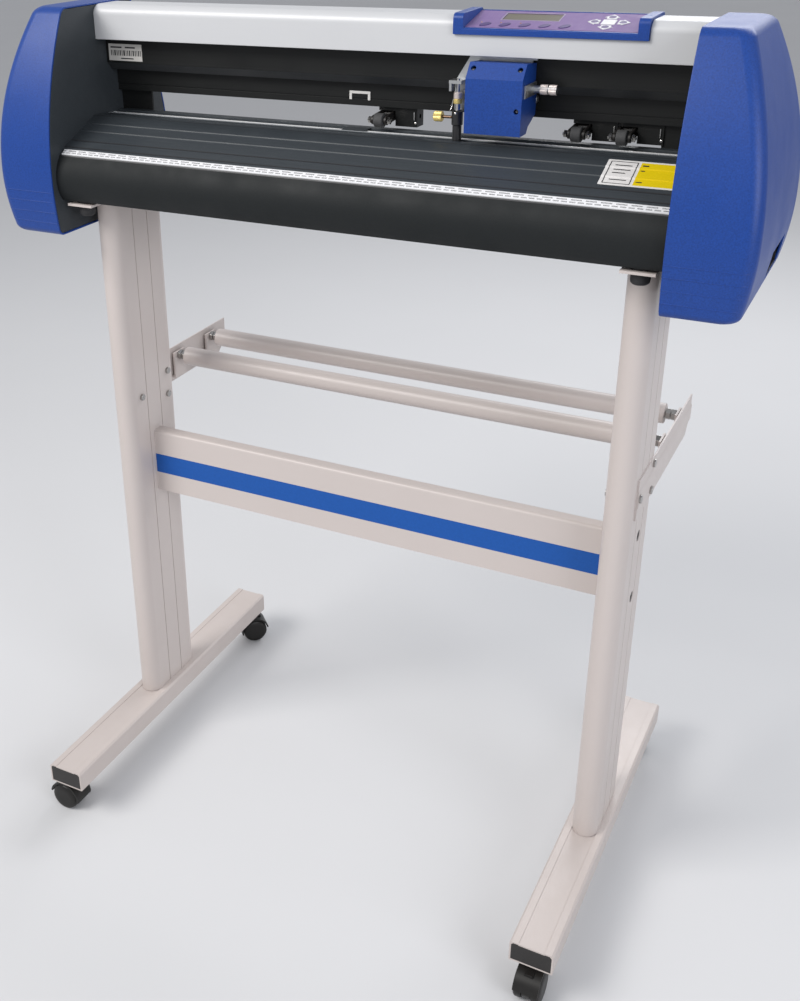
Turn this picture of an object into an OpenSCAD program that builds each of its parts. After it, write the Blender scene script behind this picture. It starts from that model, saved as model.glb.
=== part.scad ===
// Vinyl cutter on a wheeled stand: media rollers, feed shaft, pinch wheels and cutting carriage.
// Millimetres. X runs along the machine, -Y is the operator's side, Z is up from the floor.
// The origin is on the floor, under the middle of the stand.

/* [Stand] */
// Distance between the centre planes of the two uprights
upright_span = 670; // [560:5:900]
// Height of each upright above its foot bar
upright_height = 751; // [600:1:900]
// Depth of an upright, front to back
upright_depth = 111; // [90:1:130]
// Thickness of an upright, side to side
upright_thickness = 32; // [28:1:36]
// Length of a foot bar
foot_length = 510; // [460:5:600]
// Width of a foot bar
foot_width = 52; // [48:1:64]
// Height of a foot bar
foot_height = 29; // [26:1:36]
// Distance of a caster's stem from the end of its foot bar
caster_inset = 23; // [18:1:40]
// Height of the stretcher's lower edge above the foot bars
stretcher_rise = 326; // [200:1:500]
// Height of the stretcher
stretcher_height = 92; // [60:1:120]

/* [Media rollers] */
// Outer diameter of a media roller
roller_d = 26; // [20:1:32]
// Distance of the front roller behind the uprights' centre plane
front_roller_y = 106; // [90:1:120]
// Distance of the rear roller behind the uprights' centre plane
rear_roller_y = 191.5; // [150:0.5:200]
// Height of both rollers' axes above the foot bars
roller_rise = 488; // [470:1:520]

/* [Cutter] */
// Clear width between the cutter's side plates
throat_width = 732; // [700:1:1000]
// Height of the platen above the uprights' tops
platen_rise = 96; // [90:1:100]
// Diameter of the feed shaft
shaft_d = 16; // [12:1:16]
// Diameter of a pinch wheel
pinch_d = 16; // [14:1:18]
// How far the pinch wheels are swung up off the shaft
pinch_raise = 10; // [0:1:10]
// Places of the three pinch wheels along the shaft
pinch_places = [8, 236, 284];
// Place of the pen's axis along the rail
pen_x = 109; // [0:1:115]

/* [Casters] */
// Wheel diameter
caster_d = 40; // [36:1:40]
// Distance of the wheel's axle from the stem's axis
caster_trail = 15; // [12:1:18]
// Swivel angle of each caster at rest: front left, front right, rear left, rear right
caster_angles = [-90, 0, 135, 180];

/* [Hidden] */
$fn = 48;

// general
eps = 0.01;           // sliver that a cut runs past a face
fit = 0.05;           // radial clearance of a running fit
clear = 0.4;          // gap between faces that pass each other
joint_gap = 0.05;     // hairline between bolted pieces of one node
wall = 2;             // wall of the stand's extrusions
skin = 2.5;           // wall of the cutter's covers
side = upright_span / 2;

// heights of the stand, from the floor
foot_bottom = 53;
foot_top = foot_bottom + foot_height;
deck = foot_top + upright_height;       // top of the uprights: zero height of the cutter
plate_t = 3;
roller_z = foot_top + roller_rise;
stretcher_z = foot_top + stretcher_rise;

// stand details
shoulder = 10.5;                        // width of a foot bar's raised shoulder
shoulder_drop = 0.8;
bar_edge = 2.5;
groove_w = 1.4;
groove_depth = 0.9;
groove_places = [-16, 15];
plug_depth = 12;
stretcher_t = 20;
stretcher_y = 3;                        // centre plane of the stretcher
stretcher_bolt_rises = [3.5, 87];       // bolts above the stretcher's lower edge
stripe_low = 28.3;                      // lower edge of the stripe above the stretcher's
stripe_h = 28.2;
stripe_t = 0.3;
access_r = 7;
bolt_r = 3;
bracket_y0 = -33;
bracket_y1 = 240;
bracket_h = 50;
bracket_z = foot_top + 450;
bracket_t = 2;
bracket_chamfer = 20;
joggle = [14, 37];                      // raised band of a bracket, above its lower edge
joggle_t = 1;
bracket_bolts = [[-28, 26.5], [35, 43], [33, 9]];   // y, height above the bracket's lower edge
bracket_x = side + upright_thickness / 2;
foot_bolt_y = 32;
foot_bolt_r = 4;
foot_bolt_l = 30;
foot_access_r = 9;                      // hole under each foot bolt, for the socket wrench
roller_half = 331;
axle_r = 4;
plug_l = 15;
mount_pad_y = 78;
mount_pad_x = 340;
mount_plate_y = 93.5;
mount_plate_x0 = 322;
mount_plate_x1 = 357.6;

// casters
stem_r = 4;
wheel_w = 11;
wheel_gap = 12;                         // space between the two wheels of a caster
hood_r = caster_d / 2 + 3.5;
head_z = foot_bottom - 0.5;
stem_top = foot_bottom + 17;
caster_stems = [
    [-side, -(foot_length / 2 - caster_inset)], [side, -(foot_length / 2 - caster_inset)],
    [-side, foot_length / 2 - caster_inset], [side, foot_length / 2 - caster_inset]
];

// cutter, heights from the deck
inner = throat_width / 2;               // inner face of a side plate
side_plate_t = 3;
body_floor = 6;
ledge_y = -82;                          // front edge of the platen
ledge_z = 67;
lip_y = -89;                            // front edge of the ruler's ledge
lip_z = 61;
flat_y0 = -13;                          // flat part of the platen
flat_y1 = 48;
flat_fall = 3.5;                        // the flat part drops a little towards the back
rear_land = 1.1;                        // drop of the strip behind the shaft
rib_places = [0.25, 0.47];              // along the slope, from its upper edge
line_places = [0.75, 0.94];
slope_tilt = 22.8;
rib_w = 2.4;
rib_h = 0.9;
line_w = 1.6;
line_depth = 1;
platen_t = 3;
shaft_y = 28;
shaft_r = shaft_d / 2;
shaft_z = platen_rise - 2.6 - shaft_r;
slot_half = shaft_r + 0.6;
trough_floor = shaft_z - shaft_r - 2.5;
apron_r = 42.5;
apron_foot_y = -92;
rear_y = 130;
rail_bottom = 119;
rail_low_y = 41;
rail_high_y = 22;
rail_step_z = 144;
rail_band_z = 155;
rail_top = 187;
rail_back_y = 72;
bracket_lap = 9.5;                      // lap of the beam's end brackets on the platen's rear flange
cover_front_y = 2;
cover_bottom = 184.5;
cover_top = 225;
cover_round = 12;
cover_flat_y = 50;
cover_rear = [[97, 193], [105, 178], [108, 150], [108, 125]];

// end caps: outlines are parabolas about the cap's widest height
cap_bottom = -37;
cap_top = 227;
cap_reach = 450;
cap_wide_z = 42;
cap_bulge_up = 0.00112;
cap_bulge_down = 0.0017;
cap_front = -109.5;
cap_front_z = 30;
cap_front_bulge = 0.00133;
cap_rear = 146.5;
cap_rear_z = 25;
cap_rear_bulge = 0.0016;
cap_edge_r = 8;
cap_corner_r = 14;
cap_rows = [-37, -34, -29, -10, 12, 34, 56, 80, 104, 128, 152, 176, 200, 219, 224, 227];
cap_turn = 22.5;                        // turn of each facet of the rounded vertical corners
pocket_x = [398, 411, 430];             // depths of the cap's hollow

// control panel
panel_x0 = 104.2;
panel_x1 = 307.7;
panel_cheek = 11;
panel_tilt = 13.2;
panel_y = 2.2;                          // front edge of the keypad
panel_z = 211;
cheek_top = 227;                        // height of the raised ends, which rise by 1 towards the back
cheek_round = 6;
panel_depth = 54;
panel_back_y = 58.8;
pocket_z = 206;
bezel_t = 2;
keypad_t = 2;
key_t = 1.6;
key_low = 0.9;
key_gap = 0.3;
keypad_x0 = panel_x0 + panel_cheek;
keypad_w = panel_x1 - panel_x0 - 2 * panel_cheek;
oval_u = [0.107, 0.224, 0.341, 0.457, 0.573];   // places across the keypad
oval_v = 0.207;                                 // place up the keypad
oval_a = 6.6;
oval_b = 4.3;
oval_lean = 48;
cross_u = 0.797;
cross_v = 0.5;
square_key = 14;
arrow_l = 12.4;
arrow_w = 15.6;
arrow_stem = 10.4;
arrow_head = 8.2;
arrow_off = square_key / 2 + 2.4;
lcd_u = [0.178, 0.512];
lcd_v = [0.481, 0.856];
led_u = [0.074, 0.191, 0.308];
led_v = 0.315;
led_r = 1.3;

// pinch units, in the plane across the shaft
pinch_r = pinch_d / 2;
pinch_w = 11;
arm_y = 55;                             // pivot of a pinch arm
arm_z = 109;
pressed_z = shaft_z + shaft_r + pinch_r + 0.3;      // wheel's height when it is down on the shaft
pinch_y = arm_y + (shaft_y - arm_y) * cos(pinch_raise) + (pressed_z - arm_z) * sin(pinch_raise);
pinch_z = arm_z - (shaft_y - arm_y) * sin(pinch_raise) + (pressed_z - arm_z) * cos(pinch_raise);
arm_r = 5;
cheek_in = 6.7;
cheek_out = 9;
pivot_r = 2.5;
spindle_r = 2;
block_x = [11, 38];
block_drop = 21.4;                      // a pinch unit's block hangs this far below the rail
block_lip_x = -9.5;                     // its lip reaches over the arm, this far to the left

// belts and pulleys
belt_y0 = 25;
belt_w = 8;
belt_t = 1.4;
belt_x = 392;
belt_z = 201;
x_pulley_r = 10;
feed_x0 = 404;
feed_w = 9;
feed_r = 16;
feed_pinion_r = 8;
feed_motor_yz = [85, 49];
motor_w = 35;

// carriage
box_x0 = 128;
box_x1 = 190;
box_low = 109;                          // lower face, front edge and top of the carriage's cover
box_front = -22;
box_brow = 165.2;
box_brow_y = -10;
box_top = 180.5;
box_rear_low = 121;                     // height at which the rear wall's line turns in
flange_half = 6.6;                      // half height of the side flange that carries the thumb nut
carriage_plate_y = 16.5;
carriage_plate_t = 2.5;
pen_y = 8;
pen_r = 5;
pen_bottom = platen_rise - 3.5;
pen_top = 160.5;
knob_z = 119.2;
knob_r = 5.6;
knob_near = 17.2;                       // ends of the knob's grip, from the pen's axis
knob_far = 26;
sleeve_r = 6.2;
pen_stem_r = 1.8;
guide_z = 155;                          // bridge that guides the pen's stem
guide_t = 3.5;
nut_z = 153.5;
flange_reach = 17;                      // reach of the side flange ahead of the rail

// power inlet, on the right cap's outer lower side
inlet_x = 432;
inlet_window = [22, 104, -26, 4];       // y from, y to, z from, z to
socket_y = [66, 90];
socket_z = [-19, -3];
rocker_y = 44;
rocker_z = -11;
rocker_tilt = 7;
rocker_pin_r = 1.2;
rocker_pin_l = 17;

blue = [0.16, 0.30, 0.68];
white = [0.88, 0.86, 0.86];
dark = [0.15, 0.17, 0.19];
black = [0.09, 0.09, 0.10];
steel = [0.72, 0.72, 0.74];
brass = [0.80, 0.62, 0.22];
purple = [0.50, 0.38, 0.66];

// ---- shared shapes ----

module both_sides() {
    for (s = [0, 1]) mirror([s, 0, 0]) children();
}

module span(x0, x1) {
    // a profile drawn as (y, z), extruded along X
    translate([x0, 0, 0]) rotate([90, 0, 90]) linear_extrude(x1 - x0) children();
}

module rod_x(x0, x1, y, z, r) {
    translate([x0, y, z]) rotate([0, 90, 0]) cylinder(r = r, h = x1 - x0);
}

module rod_y(x, y0, y1, z, r) {
    translate([x, y1, z]) rotate([90, 0, 0]) cylinder(r = r, h = y1 - y0);
}

module tube_box(size, t) {
    // a closed-section tube, hollow along Z
    difference() {
        cube(size);
        translate([t, t, -eps]) cube([size[0] - 2 * t, size[1] - 2 * t, size[2] + 2 * eps]);
    }
}

// ---- stand ----

module bar_section(inset) {
    // section of a foot bar, x across and y up, with chamfered shoulders and a sunk middle strip
    half = foot_width / 2 - inset;
    low = inset;
    high = foot_height - inset;
    mid = foot_width / 2 - shoulder;
    polygon([
        [-half, low], [half, low], [half, high - bar_edge], [half - bar_edge, high],
        [mid, high], [mid, high - shoulder_drop], [-mid, high - shoulder_drop], [-mid, high],
        [-half + bar_edge, high], [-half, high - bar_edge]
    ]);
}

module foot_bar(x) {
    translate([x, foot_length / 2, foot_bottom]) rotate([90, 0, 0]) {
        difference() {
            linear_extrude(foot_length) bar_section(0);
            translate([0, 0, -eps]) linear_extrude(foot_length + 2 * eps) bar_section(wall);
            for (d = [caster_inset, foot_length - caster_inset])
                translate([0, wall + eps, d]) rotate([90, 0, 0])
                    cylinder(r = stem_r + fit, h = wall + 2 * eps);
            for (s = [-1, 1]) translate([0, 0, foot_length / 2 + s * foot_bolt_y]) {
                translate([0, wall + eps, 0]) rotate([90, 0, 0])
                    cylinder(r = foot_access_r, h = wall + 2 * eps);
                translate([0, foot_height, 0]) rotate([90, 0, 0])
                    cylinder(r = foot_bolt_r + fit, h = 2 * wall);
            }
        }
    }
    // sockets that hold the casters' stems
    for (y = [-1, 1])
        translate([x, y * (foot_length / 2 - caster_inset), foot_bottom + wall - eps]) difference() {
            cylinder(r = stem_r + 3, h = stem_top - foot_bottom);
            translate([0, 0, -eps]) cylinder(r = stem_r + fit, h = stem_top - foot_bottom + 2 * eps);
        }
}

module foot_bars() {
    color(white) for (s = [-1, 1]) foot_bar(s * side);
}

module foot_end_caps() {
    color(black) for (s = [-1, 1], e = [-1, 1])
        translate([s * side, e * foot_length / 2 + (e < 0 ? plug_depth : 0), foot_bottom])
            rotate([90, 0, 0]) linear_extrude(plug_depth) bar_section(wall);
}

module upright_section(inset) {
    // bull-nosed section, x across and y front to back
    r = upright_thickness / 2 - inset;
    run = upright_depth / 2 - upright_thickness / 2;
    square([2 * r, 2 * run], center = true);
    for (s = [-1, 1]) translate([0, s * run]) circle(r = r, $fn = 64);
}

module upright(s) {
    outer_x = s * upright_thickness / 2;
    translate([s * side, 0, 0]) difference() {
        translate([0, 0, foot_top]) linear_extrude(upright_height) difference() {
            upright_section(0);
            upright_section(wall + 1);
            for (y = groove_places, f = [-1, 1])
                translate([f * upright_thickness / 2, y])
                    square([2 * groove_depth, groove_w], center = true);
        }
        // access holes for the stretcher's bolts in the outer wall, bolt holes in the inner wall
        for (h = stretcher_bolt_rises) {
            rod_x(min(outer_x, 0), max(outer_x, 0), stretcher_y, stretcher_z + h, access_r);
            rod_x(min(-outer_x, 0), max(-outer_x, 0), stretcher_y, stretcher_z + h, bolt_r + fit);
        }
        for (b = bracket_bolts)
            rod_x(-upright_thickness, upright_thickness, b[0], bracket_z + b[1], bolt_r + fit);
    }
}

module uprights() {
    color(white) for (s = [-1, 1]) upright(s);
}

module stretcher_section(inset) {
    r = 4 - inset;
    h = stretcher_height;
    translate([stretcher_y - stretcher_t / 2 + inset, inset])
        square([stretcher_t - 2 * inset, h - 2 * inset - r]);
    translate([stretcher_y - stretcher_t / 2 + inset + r, h - inset - 2 * r])
        square([stretcher_t - 2 * inset - 2 * r, 2 * r]);
    for (s = [-1, 1])
        translate([stretcher_y + s * (stretcher_t / 2 - inset - r), h - inset - r]) circle(r = r, $fn = 32);
}

module stretcher_bar() {
    half = side - upright_thickness / 2;
    color(white) translate([0, 0, stretcher_z]) difference() {
        span(-half, half) stretcher_section(0);
        span(-half - 1, half + 1) difference() {
            stretcher_section(wall);
            // screw ports along the top and bottom edges
            for (h = stretcher_bolt_rises) translate([stretcher_y, h]) circle(r = bolt_r + 2.5);
        }
        for (h = stretcher_bolt_rises) for (s = [-1, 1])
            rod_x(min(s * half, s * (half - 30)) - eps, max(s * half, s * (half - 30)) + eps,
                stretcher_y, h, bolt_r + fit);
    }
}

module stretcher_stripe() {
    half = side - upright_thickness / 2 - 0.5;
    color([0.12, 0.36, 0.70])
        translate([-half, stretcher_y - stretcher_t / 2 - stripe_t, stretcher_z + stripe_low])
            cube([2 * half, stripe_t, stripe_h]);
}

module hex_bolt_x(x0, x1, y, z, r, head) {
    // a bolt from its head's outer face at x0 to its tip at x1
    dir = x1 > x0 ? 1 : -1;
    rod_x(min(x0, x1), max(x0, x1), y, z, r);
    translate([dir > 0 ? x0 : x0 - head, y, z]) rotate([0, 90, 0]) cylinder(r = 2 * r, h = head, $fn = 6);
}

module stand_bolts() {
    half = upright_thickness / 2;
    color(steel) both_sides() {
        // stretcher bolts, headed inside the upright
        for (h = stretcher_bolt_rises)
            hex_bolt_x(side - half + wall + 1 + 4, side - half - 26, stretcher_y, stretcher_z + h, bolt_r, 4);
        // bracket bolts, headed outside, with domed nuts on the inner face
        for (b = bracket_bolts) {
            face = bracket_x + bracket_t + (b[1] > joggle[0] && b[1] < joggle[1] ? joggle_t : 0);
            rod_x(side - half - 3, face + 1, b[0], bracket_z + b[1], bolt_r);
            rod_x(face, face + 2.4, b[0], bracket_z + b[1], 5);
            rod_x(side - half - 3, side - half, b[0], bracket_z + b[1], 4.6);
        }
        // roller axles: a bolt through the bracket's seat, with two nuts
        for (y = [front_roller_y, rear_roller_y]) {
            rod_x(roller_half - plug_l + 1, bracket_x - 1, y, roller_z, axle_r);
            translate([roller_half + 1.5, y, roller_z]) rotate([0, 90, 0])
                cylinder(r = 7.5, h = 5.5, $fn = 6);
            translate([bracket_x - 12, y, roller_z]) rotate([0, 90, 0])
                cylinder(r = 7.5, h = 5.5, $fn = 6);
        }
        // bolts that hold the upright on its foot bar
        for (s = [-1, 1]) translate([side, s * foot_bolt_y, foot_top - shoulder_drop - wall - 4]) {
            cylinder(r = 7, h = 4, $fn = 6);
            cylinder(r = foot_bolt_r, h = foot_bolt_l);
        }
    }
}

module mount_plates() {
    color(white) both_sides() translate([0, 0, deck]) difference() {
        translate([mount_plate_x0, -mount_plate_y, 0])
            cube([mount_plate_x1 - mount_plate_x0, 2 * mount_plate_y, plate_t]);
        for (s = [-1, 1]) translate([mount_pad_x, s * mount_pad_y, -eps])
            cylinder(r = 3 + fit, h = plate_t + 2 * eps);
    }
}

module rubber_mounts() {
    // a knob under the plate, its stud, and the pad that the cutter rests on
    color(black) both_sides() for (s = [-1, 1]) translate([mount_pad_x, s * mount_pad_y, deck]) {
        rotate_extrude() polygon([[0, -13], [7.5, -13], [9.6, -11], [10, -8], [10, 0], [3, 0],
            [3, plate_t], [11, plate_t], [11, body_floor], [0, body_floor]]);
    }
}

module bracket_section() {
    // joggled sheet, x outwards and y up
    t = bracket_t;
    out = t + joggle_t;
    polygon([[0, 0], [t, 0], [t, joggle[0]], [out, joggle[0] + 2], [out, joggle[1] - 2], [t, joggle[1]],
        [t, bracket_h], [0, bracket_h]]);
}

module roll_bracket() {
    difference() {
        translate([bracket_x, bracket_y1, bracket_z]) rotate([90, 0, 0])
            linear_extrude(bracket_y1 - bracket_y0) bracket_section();
        for (b = bracket_bolts)
            rod_x(bracket_x - 1, bracket_x + bracket_t + 2, b[0], bracket_z + b[1], bolt_r + fit);
        // sloping rear lower corner
        translate([bracket_x - 1, bracket_y1, bracket_z]) rotate([45, 0, 0])
            cube([6, bracket_chamfer * 2, bracket_chamfer * 1.414], center = true);
    }
    // angle seats that carry the roller axles
    for (y = [front_roller_y, rear_roller_y]) difference() {
        union() {
            translate([bracket_x - 6, y - 14, bracket_z + 8]) cube([2.5, 28, 42 - 8 + 2]);
            translate([bracket_x - 6, y - 14, bracket_z + 6]) cube([6, 28, 2.5]);
        }
        rod_x(bracket_x - 8, bracket_x - 1, y, roller_z, axle_r + fit);
    }
}

module roll_brackets() {
    color(white) both_sides() roll_bracket();
}

module media_roller(y) {
    difference() {
        rod_x(-roller_half, roller_half, y, roller_z, roller_d / 2);
        rod_x(-roller_half + plug_l, roller_half - plug_l, y, roller_z, roller_d / 2 - 1.5);
        rod_x(-roller_half - 1, -roller_half + plug_l + 1, y, roller_z, axle_r + fit);
        rod_x(roller_half - plug_l - 1, roller_half + 1, y, roller_z, axle_r + fit);
    }
}

module front_roller() { color(white) media_roller(front_roller_y); }
module rear_roller() { color(white) media_roller(rear_roller_y); }

// ---- casters ----

module at_caster(i) {
    translate([caster_stems[i][0], caster_stems[i][1], 0]) rotate([0, 0, caster_angles[i]]) children();
}

module caster_fork(i) {
    wr = caster_d / 2;
    web = wheel_gap / 2 - 1;
    color(black) at_caster(i) {
        difference() {
            union() {
                // web between the wheels and hood over them
                rod_x(-web, web, -caster_trail, wr, wr - 2);
                difference() {
                    rod_x(-wheel_w - 4, wheel_w + 4, -caster_trail, wr, hood_r);
                    rod_x(-wheel_w - 5, wheel_w + 5, -caster_trail, wr, wr + 1);
                    translate([-30, -60, -20]) cube([60, 60 - caster_trail + 6, wr + 20 + 4]);
                    translate([-30, -60, -20]) cube([60, 120, wr + 20 - 4]);
                }
                translate([-web, -caster_trail - wr * 0.6, wr]) cube([2 * web, caster_trail + 10, wr + 4]);
                translate([0, 0, wr + 12]) cylinder(r = 10, h = head_z - wr - 12);
            }
            rod_x(-20, 20, -caster_trail, wr, 3 + fit);
            // room for the wheels below the head
            for (s = [-1, 1]) translate([s * (web + 10), 0, 0])
                rod_x(-10, 10, -caster_trail, wr, wr + 1);
        }
        translate([0, 0, head_z - 1]) cylinder(r = stem_r, h = stem_top - head_z);
    }
}

module caster_wheels(i) {
    wr = caster_d / 2;
    x0 = wheel_gap / 2;
    color([0.16, 0.16, 0.17]) at_caster(i) {
        rod_x(-x0 - wheel_w + 2, x0 + wheel_w - 2, -caster_trail, wr, 3);
        for (s = [0, 1]) mirror([s, 0, 0]) translate([x0, -caster_trail, wr]) rotate([0, 90, 0])
            rotate_extrude($fn = 72) polygon([[0, 0], [wr - 1, 0], [wr, 1], [wr, wheel_w - 4],
                [wr - 1.2, wheel_w - 2], [wr - 4, wheel_w - 0.6], [wr - 9, wheel_w], [0, wheel_w]]);
    }
}

module caster_fork_1() { caster_fork(0); }
module caster_fork_2() { caster_fork(1); }
module caster_fork_3() { caster_fork(2); }
module caster_fork_4() { caster_fork(3); }
module caster_wheels_1() { caster_wheels(0); }
module caster_wheels_2() { caster_wheels(1); }
module caster_wheels_3() { caster_wheels(2); }
module caster_wheels_4() { caster_wheels(3); }

// ---- end caps and side plates ----

function edge_round(depth) =
    // how far the rounded edge draws in, at a depth below the top or bottom face
    depth < cap_edge_r ? cap_edge_r - sqrt(max(0, pow(cap_edge_r, 2) - pow(cap_edge_r - depth, 2))) : 0;
function rounding(z) = edge_round(min(cap_top - z, z - cap_bottom));
function cap_out(z) = cap_reach - (z > cap_wide_z ? cap_bulge_up : cap_bulge_down) * pow(z - cap_wide_z, 2)
    - rounding(z);
function cap_fore(z) = cap_front + cap_front_bulge * pow(z - cap_front_z, 2) + rounding(z);
function cap_aft(z) = cap_rear - cap_rear_bulge * pow(z - cap_rear_z, 2) - rounding(z);

function cap_slice(z) =
    // level outline of the cap, from its inner front corner round to its inner rear corner
    let (r = cap_corner_r, x = cap_out(z) - r)
    concat([[inner, cap_fore(z), z]],
        [for (a = [-90:cap_turn:0]) [x + r * cos(a), cap_fore(z) + r + r * sin(a), z]],
        [for (a = [0:cap_turn:90]) [x + r * cos(a), cap_aft(z) - r + r * sin(a), z]],
        [[inner, cap_aft(z), z]]);

module cap_solid() {
    slices = [for (z = cap_rows) cap_slice(z)];
    n = len(slices[0]);
    last = len(cap_rows) - 1;
    walls = [for (i = [0:last - 1], j = [0:n - 1]) let (k = (j + 1) % n)
        each [[i * n + j, (i + 1) * n + j, (i + 1) * n + k], [i * n + j, (i + 1) * n + k, i * n + k]]];
    polyhedron([for (s = slices) each s],
        concat([[for (j = [0:n - 1]) j]], walls, [[for (j = [n - 1:-1:0]) last * n + j]]));
}

module cap_pocket(x0, x1, inset, z0, z1) {
    // hollow that follows the cap's side outline at a distance
    rows = concat([z0], [for (z = cap_rows) if (z > z0 && z < z1) z], [z1]);
    span(x0, x1) polygon(concat([for (z = rows) [cap_fore(z) + inset, z]],
        [for (i = [len(rows) - 1:-1:0]) [cap_aft(rows[i]) - inset, rows[i]]]));
}

module cap_shell() {
    difference() {
        cap_solid();
        cap_pocket(inner - 1, pocket_x[0], skin, cap_bottom + skin, cap_top - skin);
        cap_pocket(pocket_x[0] - 1, pocket_x[1], 9, cap_bottom + 9, cap_top - 7.5);
        cap_pocket(pocket_x[1] - 1, pocket_x[2], 14, cap_bottom + 9, 150);
    }
}

module left_end_cap() {
    color(blue) translate([0, 0, deck]) mirror([1, 0, 0]) cap_shell();
}

module right_end_cap() {
    w = inlet_window;
    color(blue) translate([0, 0, deck]) difference() {
        cap_shell();
        // room for the inlet's plate, and the recess that it looks out of
        translate([pocket_x[2] - 1, w[0] - 7, w[2] - 4]) cube([8, w[1] - w[0] + 14, w[3] - w[2] + 12]);
        translate([inlet_x + 1, w[0], w[2]]) cube([30, w[1] - w[0], w[3] - w[2]]);
    }
}

module side_plate_outline() {
    gap = skin + 0.3;
    rows = [for (z = cap_rows) if (z > cap_bottom + gap && z < cap_top - gap) z];
    polygon(concat([for (z = rows) [cap_fore(z) + gap, z]],
        [for (i = [len(rows) - 1:-1:0]) [cap_aft(rows[i]) - gap, rows[i]]]));
}

module side_plate() {
    difference() {
        span(inner, inner + side_plate_t) side_plate_outline();
        rod_x(inner - 1, inner + side_plate_t + 1, shaft_y, shaft_z, shaft_r + fit);
        // slots for the carriage belt
        translate([inner - 1, belt_y0 - 3, belt_z - x_pulley_r - 4])
            cube([side_plate_t + 2, belt_w + 6, 2 * x_pulley_r + 8]);
    }
    // flanged bearing for the feed shaft
    difference() {
        rod_x(inner + side_plate_t, inner + side_plate_t + 6, shaft_y, shaft_z, shaft_r + 5);
        rod_x(inner, inner + side_plate_t + 7, shaft_y, shaft_z, shaft_r + fit);
    }
}

module side_plates() {
    color(dark) translate([0, 0, deck]) {
        both_sides() side_plate();
        // bracket and axle of the belt's idler pulley
        translate([inner + side_plate_t, belt_y0 + belt_w + 3, belt_z - 10]) cube([34, 3, 20]);
        rod_y(belt_x, belt_y0 - 1, belt_y0 + belt_w + 3, belt_z, 3);
    }
}

// ---- platen, apron and covers ----

function flat_z(y) = platen_rise - flat_fall * (y - flat_y0) / (flat_y1 - flat_y0);
function slope_point(f) = [flat_y0 + f * (ledge_y - flat_y0), platen_rise + f * (ledge_z - platen_rise)];

function along_slope(f, d, n) = slope_point(f) + d * [cos(slope_tilt), sin(slope_tilt)]
    + n * [-sin(slope_tilt), cos(slope_tilt)];
function rib(f) = [along_slope(f, -rib_w / 2, 0), along_slope(f, -rib_w / 4, rib_h),
    along_slope(f, rib_w / 4, rib_h), along_slope(f, rib_w / 2, 0)];
function sunk_line(f) = [along_slope(f, -line_w / 2, 0), along_slope(f, -line_w / 2, -line_depth),
    along_slope(f, line_w / 2, -line_depth), along_slope(f, line_w / 2, 0)];

module platen_section() {
    t = platen_t;
    y0 = shaft_y - slot_half;
    y1 = shaft_y + slot_half;
    g0 = pen_y - pen_r - 1.5;               // groove that the blade runs over
    g1 = pen_y + pen_r + 1.5;
    bed = platen_rise - 8;
    land = platen_rise - rear_land;
    top = concat([[ledge_y, ledge_z]], sunk_line(line_places[1]), sunk_line(line_places[0]),
        rib(rib_places[1]), rib(rib_places[0]), [[flat_y0, platen_rise]],
        [[g0, flat_z(g0)], [g0, platen_rise - 4.6], [g1, platen_rise - 4.6], [g1, flat_z(g1)]],
        [[y0, flat_z(y0)], [y0, trough_floor], [y1, trough_floor], [y1, land], [flat_y1, land]]);
    under = [[flat_y1, platen_rise - 20], [flat_y1 - t, platen_rise - 20], [flat_y1 - t, land - t],
        [y1 + 2, land - t], [y1 + 2, trough_floor - 2], [y0 - 2, trough_floor - 2], [y0 - 2, bed],
        [g0 - 2.5, bed], [g0 - 2.5, flat_z(g0) - t], [flat_y0 + 0.6, platen_rise - t],
        [ledge_y, ledge_z - t]];
    polygon(concat(top, under));
}

module platen() {
    color(dark) translate([0, 0, deck]) span(-inner, inner) platen_section();
}

function arc_points(p, q, r, n) =
    // arc of radius r from p to q, bulging to the left of the way from p to q
    let (dx = q[0] - p[0], dy = q[1] - p[1], d = norm([dx, dy]),
        h = sqrt(r * r - d * d / 4),
        c = [(p[0] + q[0]) / 2 + dy / d * h * -1, (p[1] + q[1]) / 2 + dx / d * h],
        a0 = atan2(p[1] - c[1], p[0] - c[0]), a1 = atan2(q[1] - c[1], q[0] - c[0]),
        turn = a1 - a0 > 180 ? a1 - a0 - 360 : a1 - a0 < -180 ? a1 - a0 + 360 : a1 - a0)
    [for (i = [0:n]) c + r * [cos(a0 + turn * i / n), sin(a0 + turn * i / n)]];

module front_apron() {
    top = [lip_y - 1.5, lip_z - 2.5];
    low = [apron_foot_y, body_floor];
    n = 16;
    outer = arc_points(top, low, apron_r, n);
    back = [for (i = [n - 1:-1:0]) outer[i] + [skin, 0]];
    floor_end = 20;
    color(dark) translate([0, 0, deck]) span(-inner, inner)
        polygon(concat(outer, [[floor_end, body_floor], [floor_end, body_floor + skin],
            [apron_foot_y + skin, body_floor + skin]], back,
            // ledge under the ruler
            [[lip_y + 1.4, lip_z - 5], [ledge_y, ledge_z - 6.5], [ledge_y, ledge_z - 4.2],
            [lip_y + 0.6, lip_z - 1.2], [lip_y, lip_z]]));
}

module ruler_strip() {
    half = inner - 3;
    color([0.92, 0.92, 0.92]) translate([0, 0, deck]) span(-half, half)
        polygon([[lip_y + 0.7, lip_z - 0.4], [ledge_y - 0.2, ledge_z - 3.2], [ledge_y - 0.2, ledge_z - 0.4],
            [lip_y + 0.2, lip_z + 1.1]]);
}

module rear_cover() {
    t = skin;
    z0 = body_floor;
    color(dark) translate([0, 0, deck]) span(-inner, inner)
        polygon([[20.5, z0], [rear_y, z0], [rear_y - 3, 64], [flat_y1 + 1, 86], [flat_y1 + 0.5, 86 - t],
            [rear_y - 3 - t, 64 - t + 0.5], [rear_y - t, z0 + t], [20.5, z0 + t]]);
}

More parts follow.
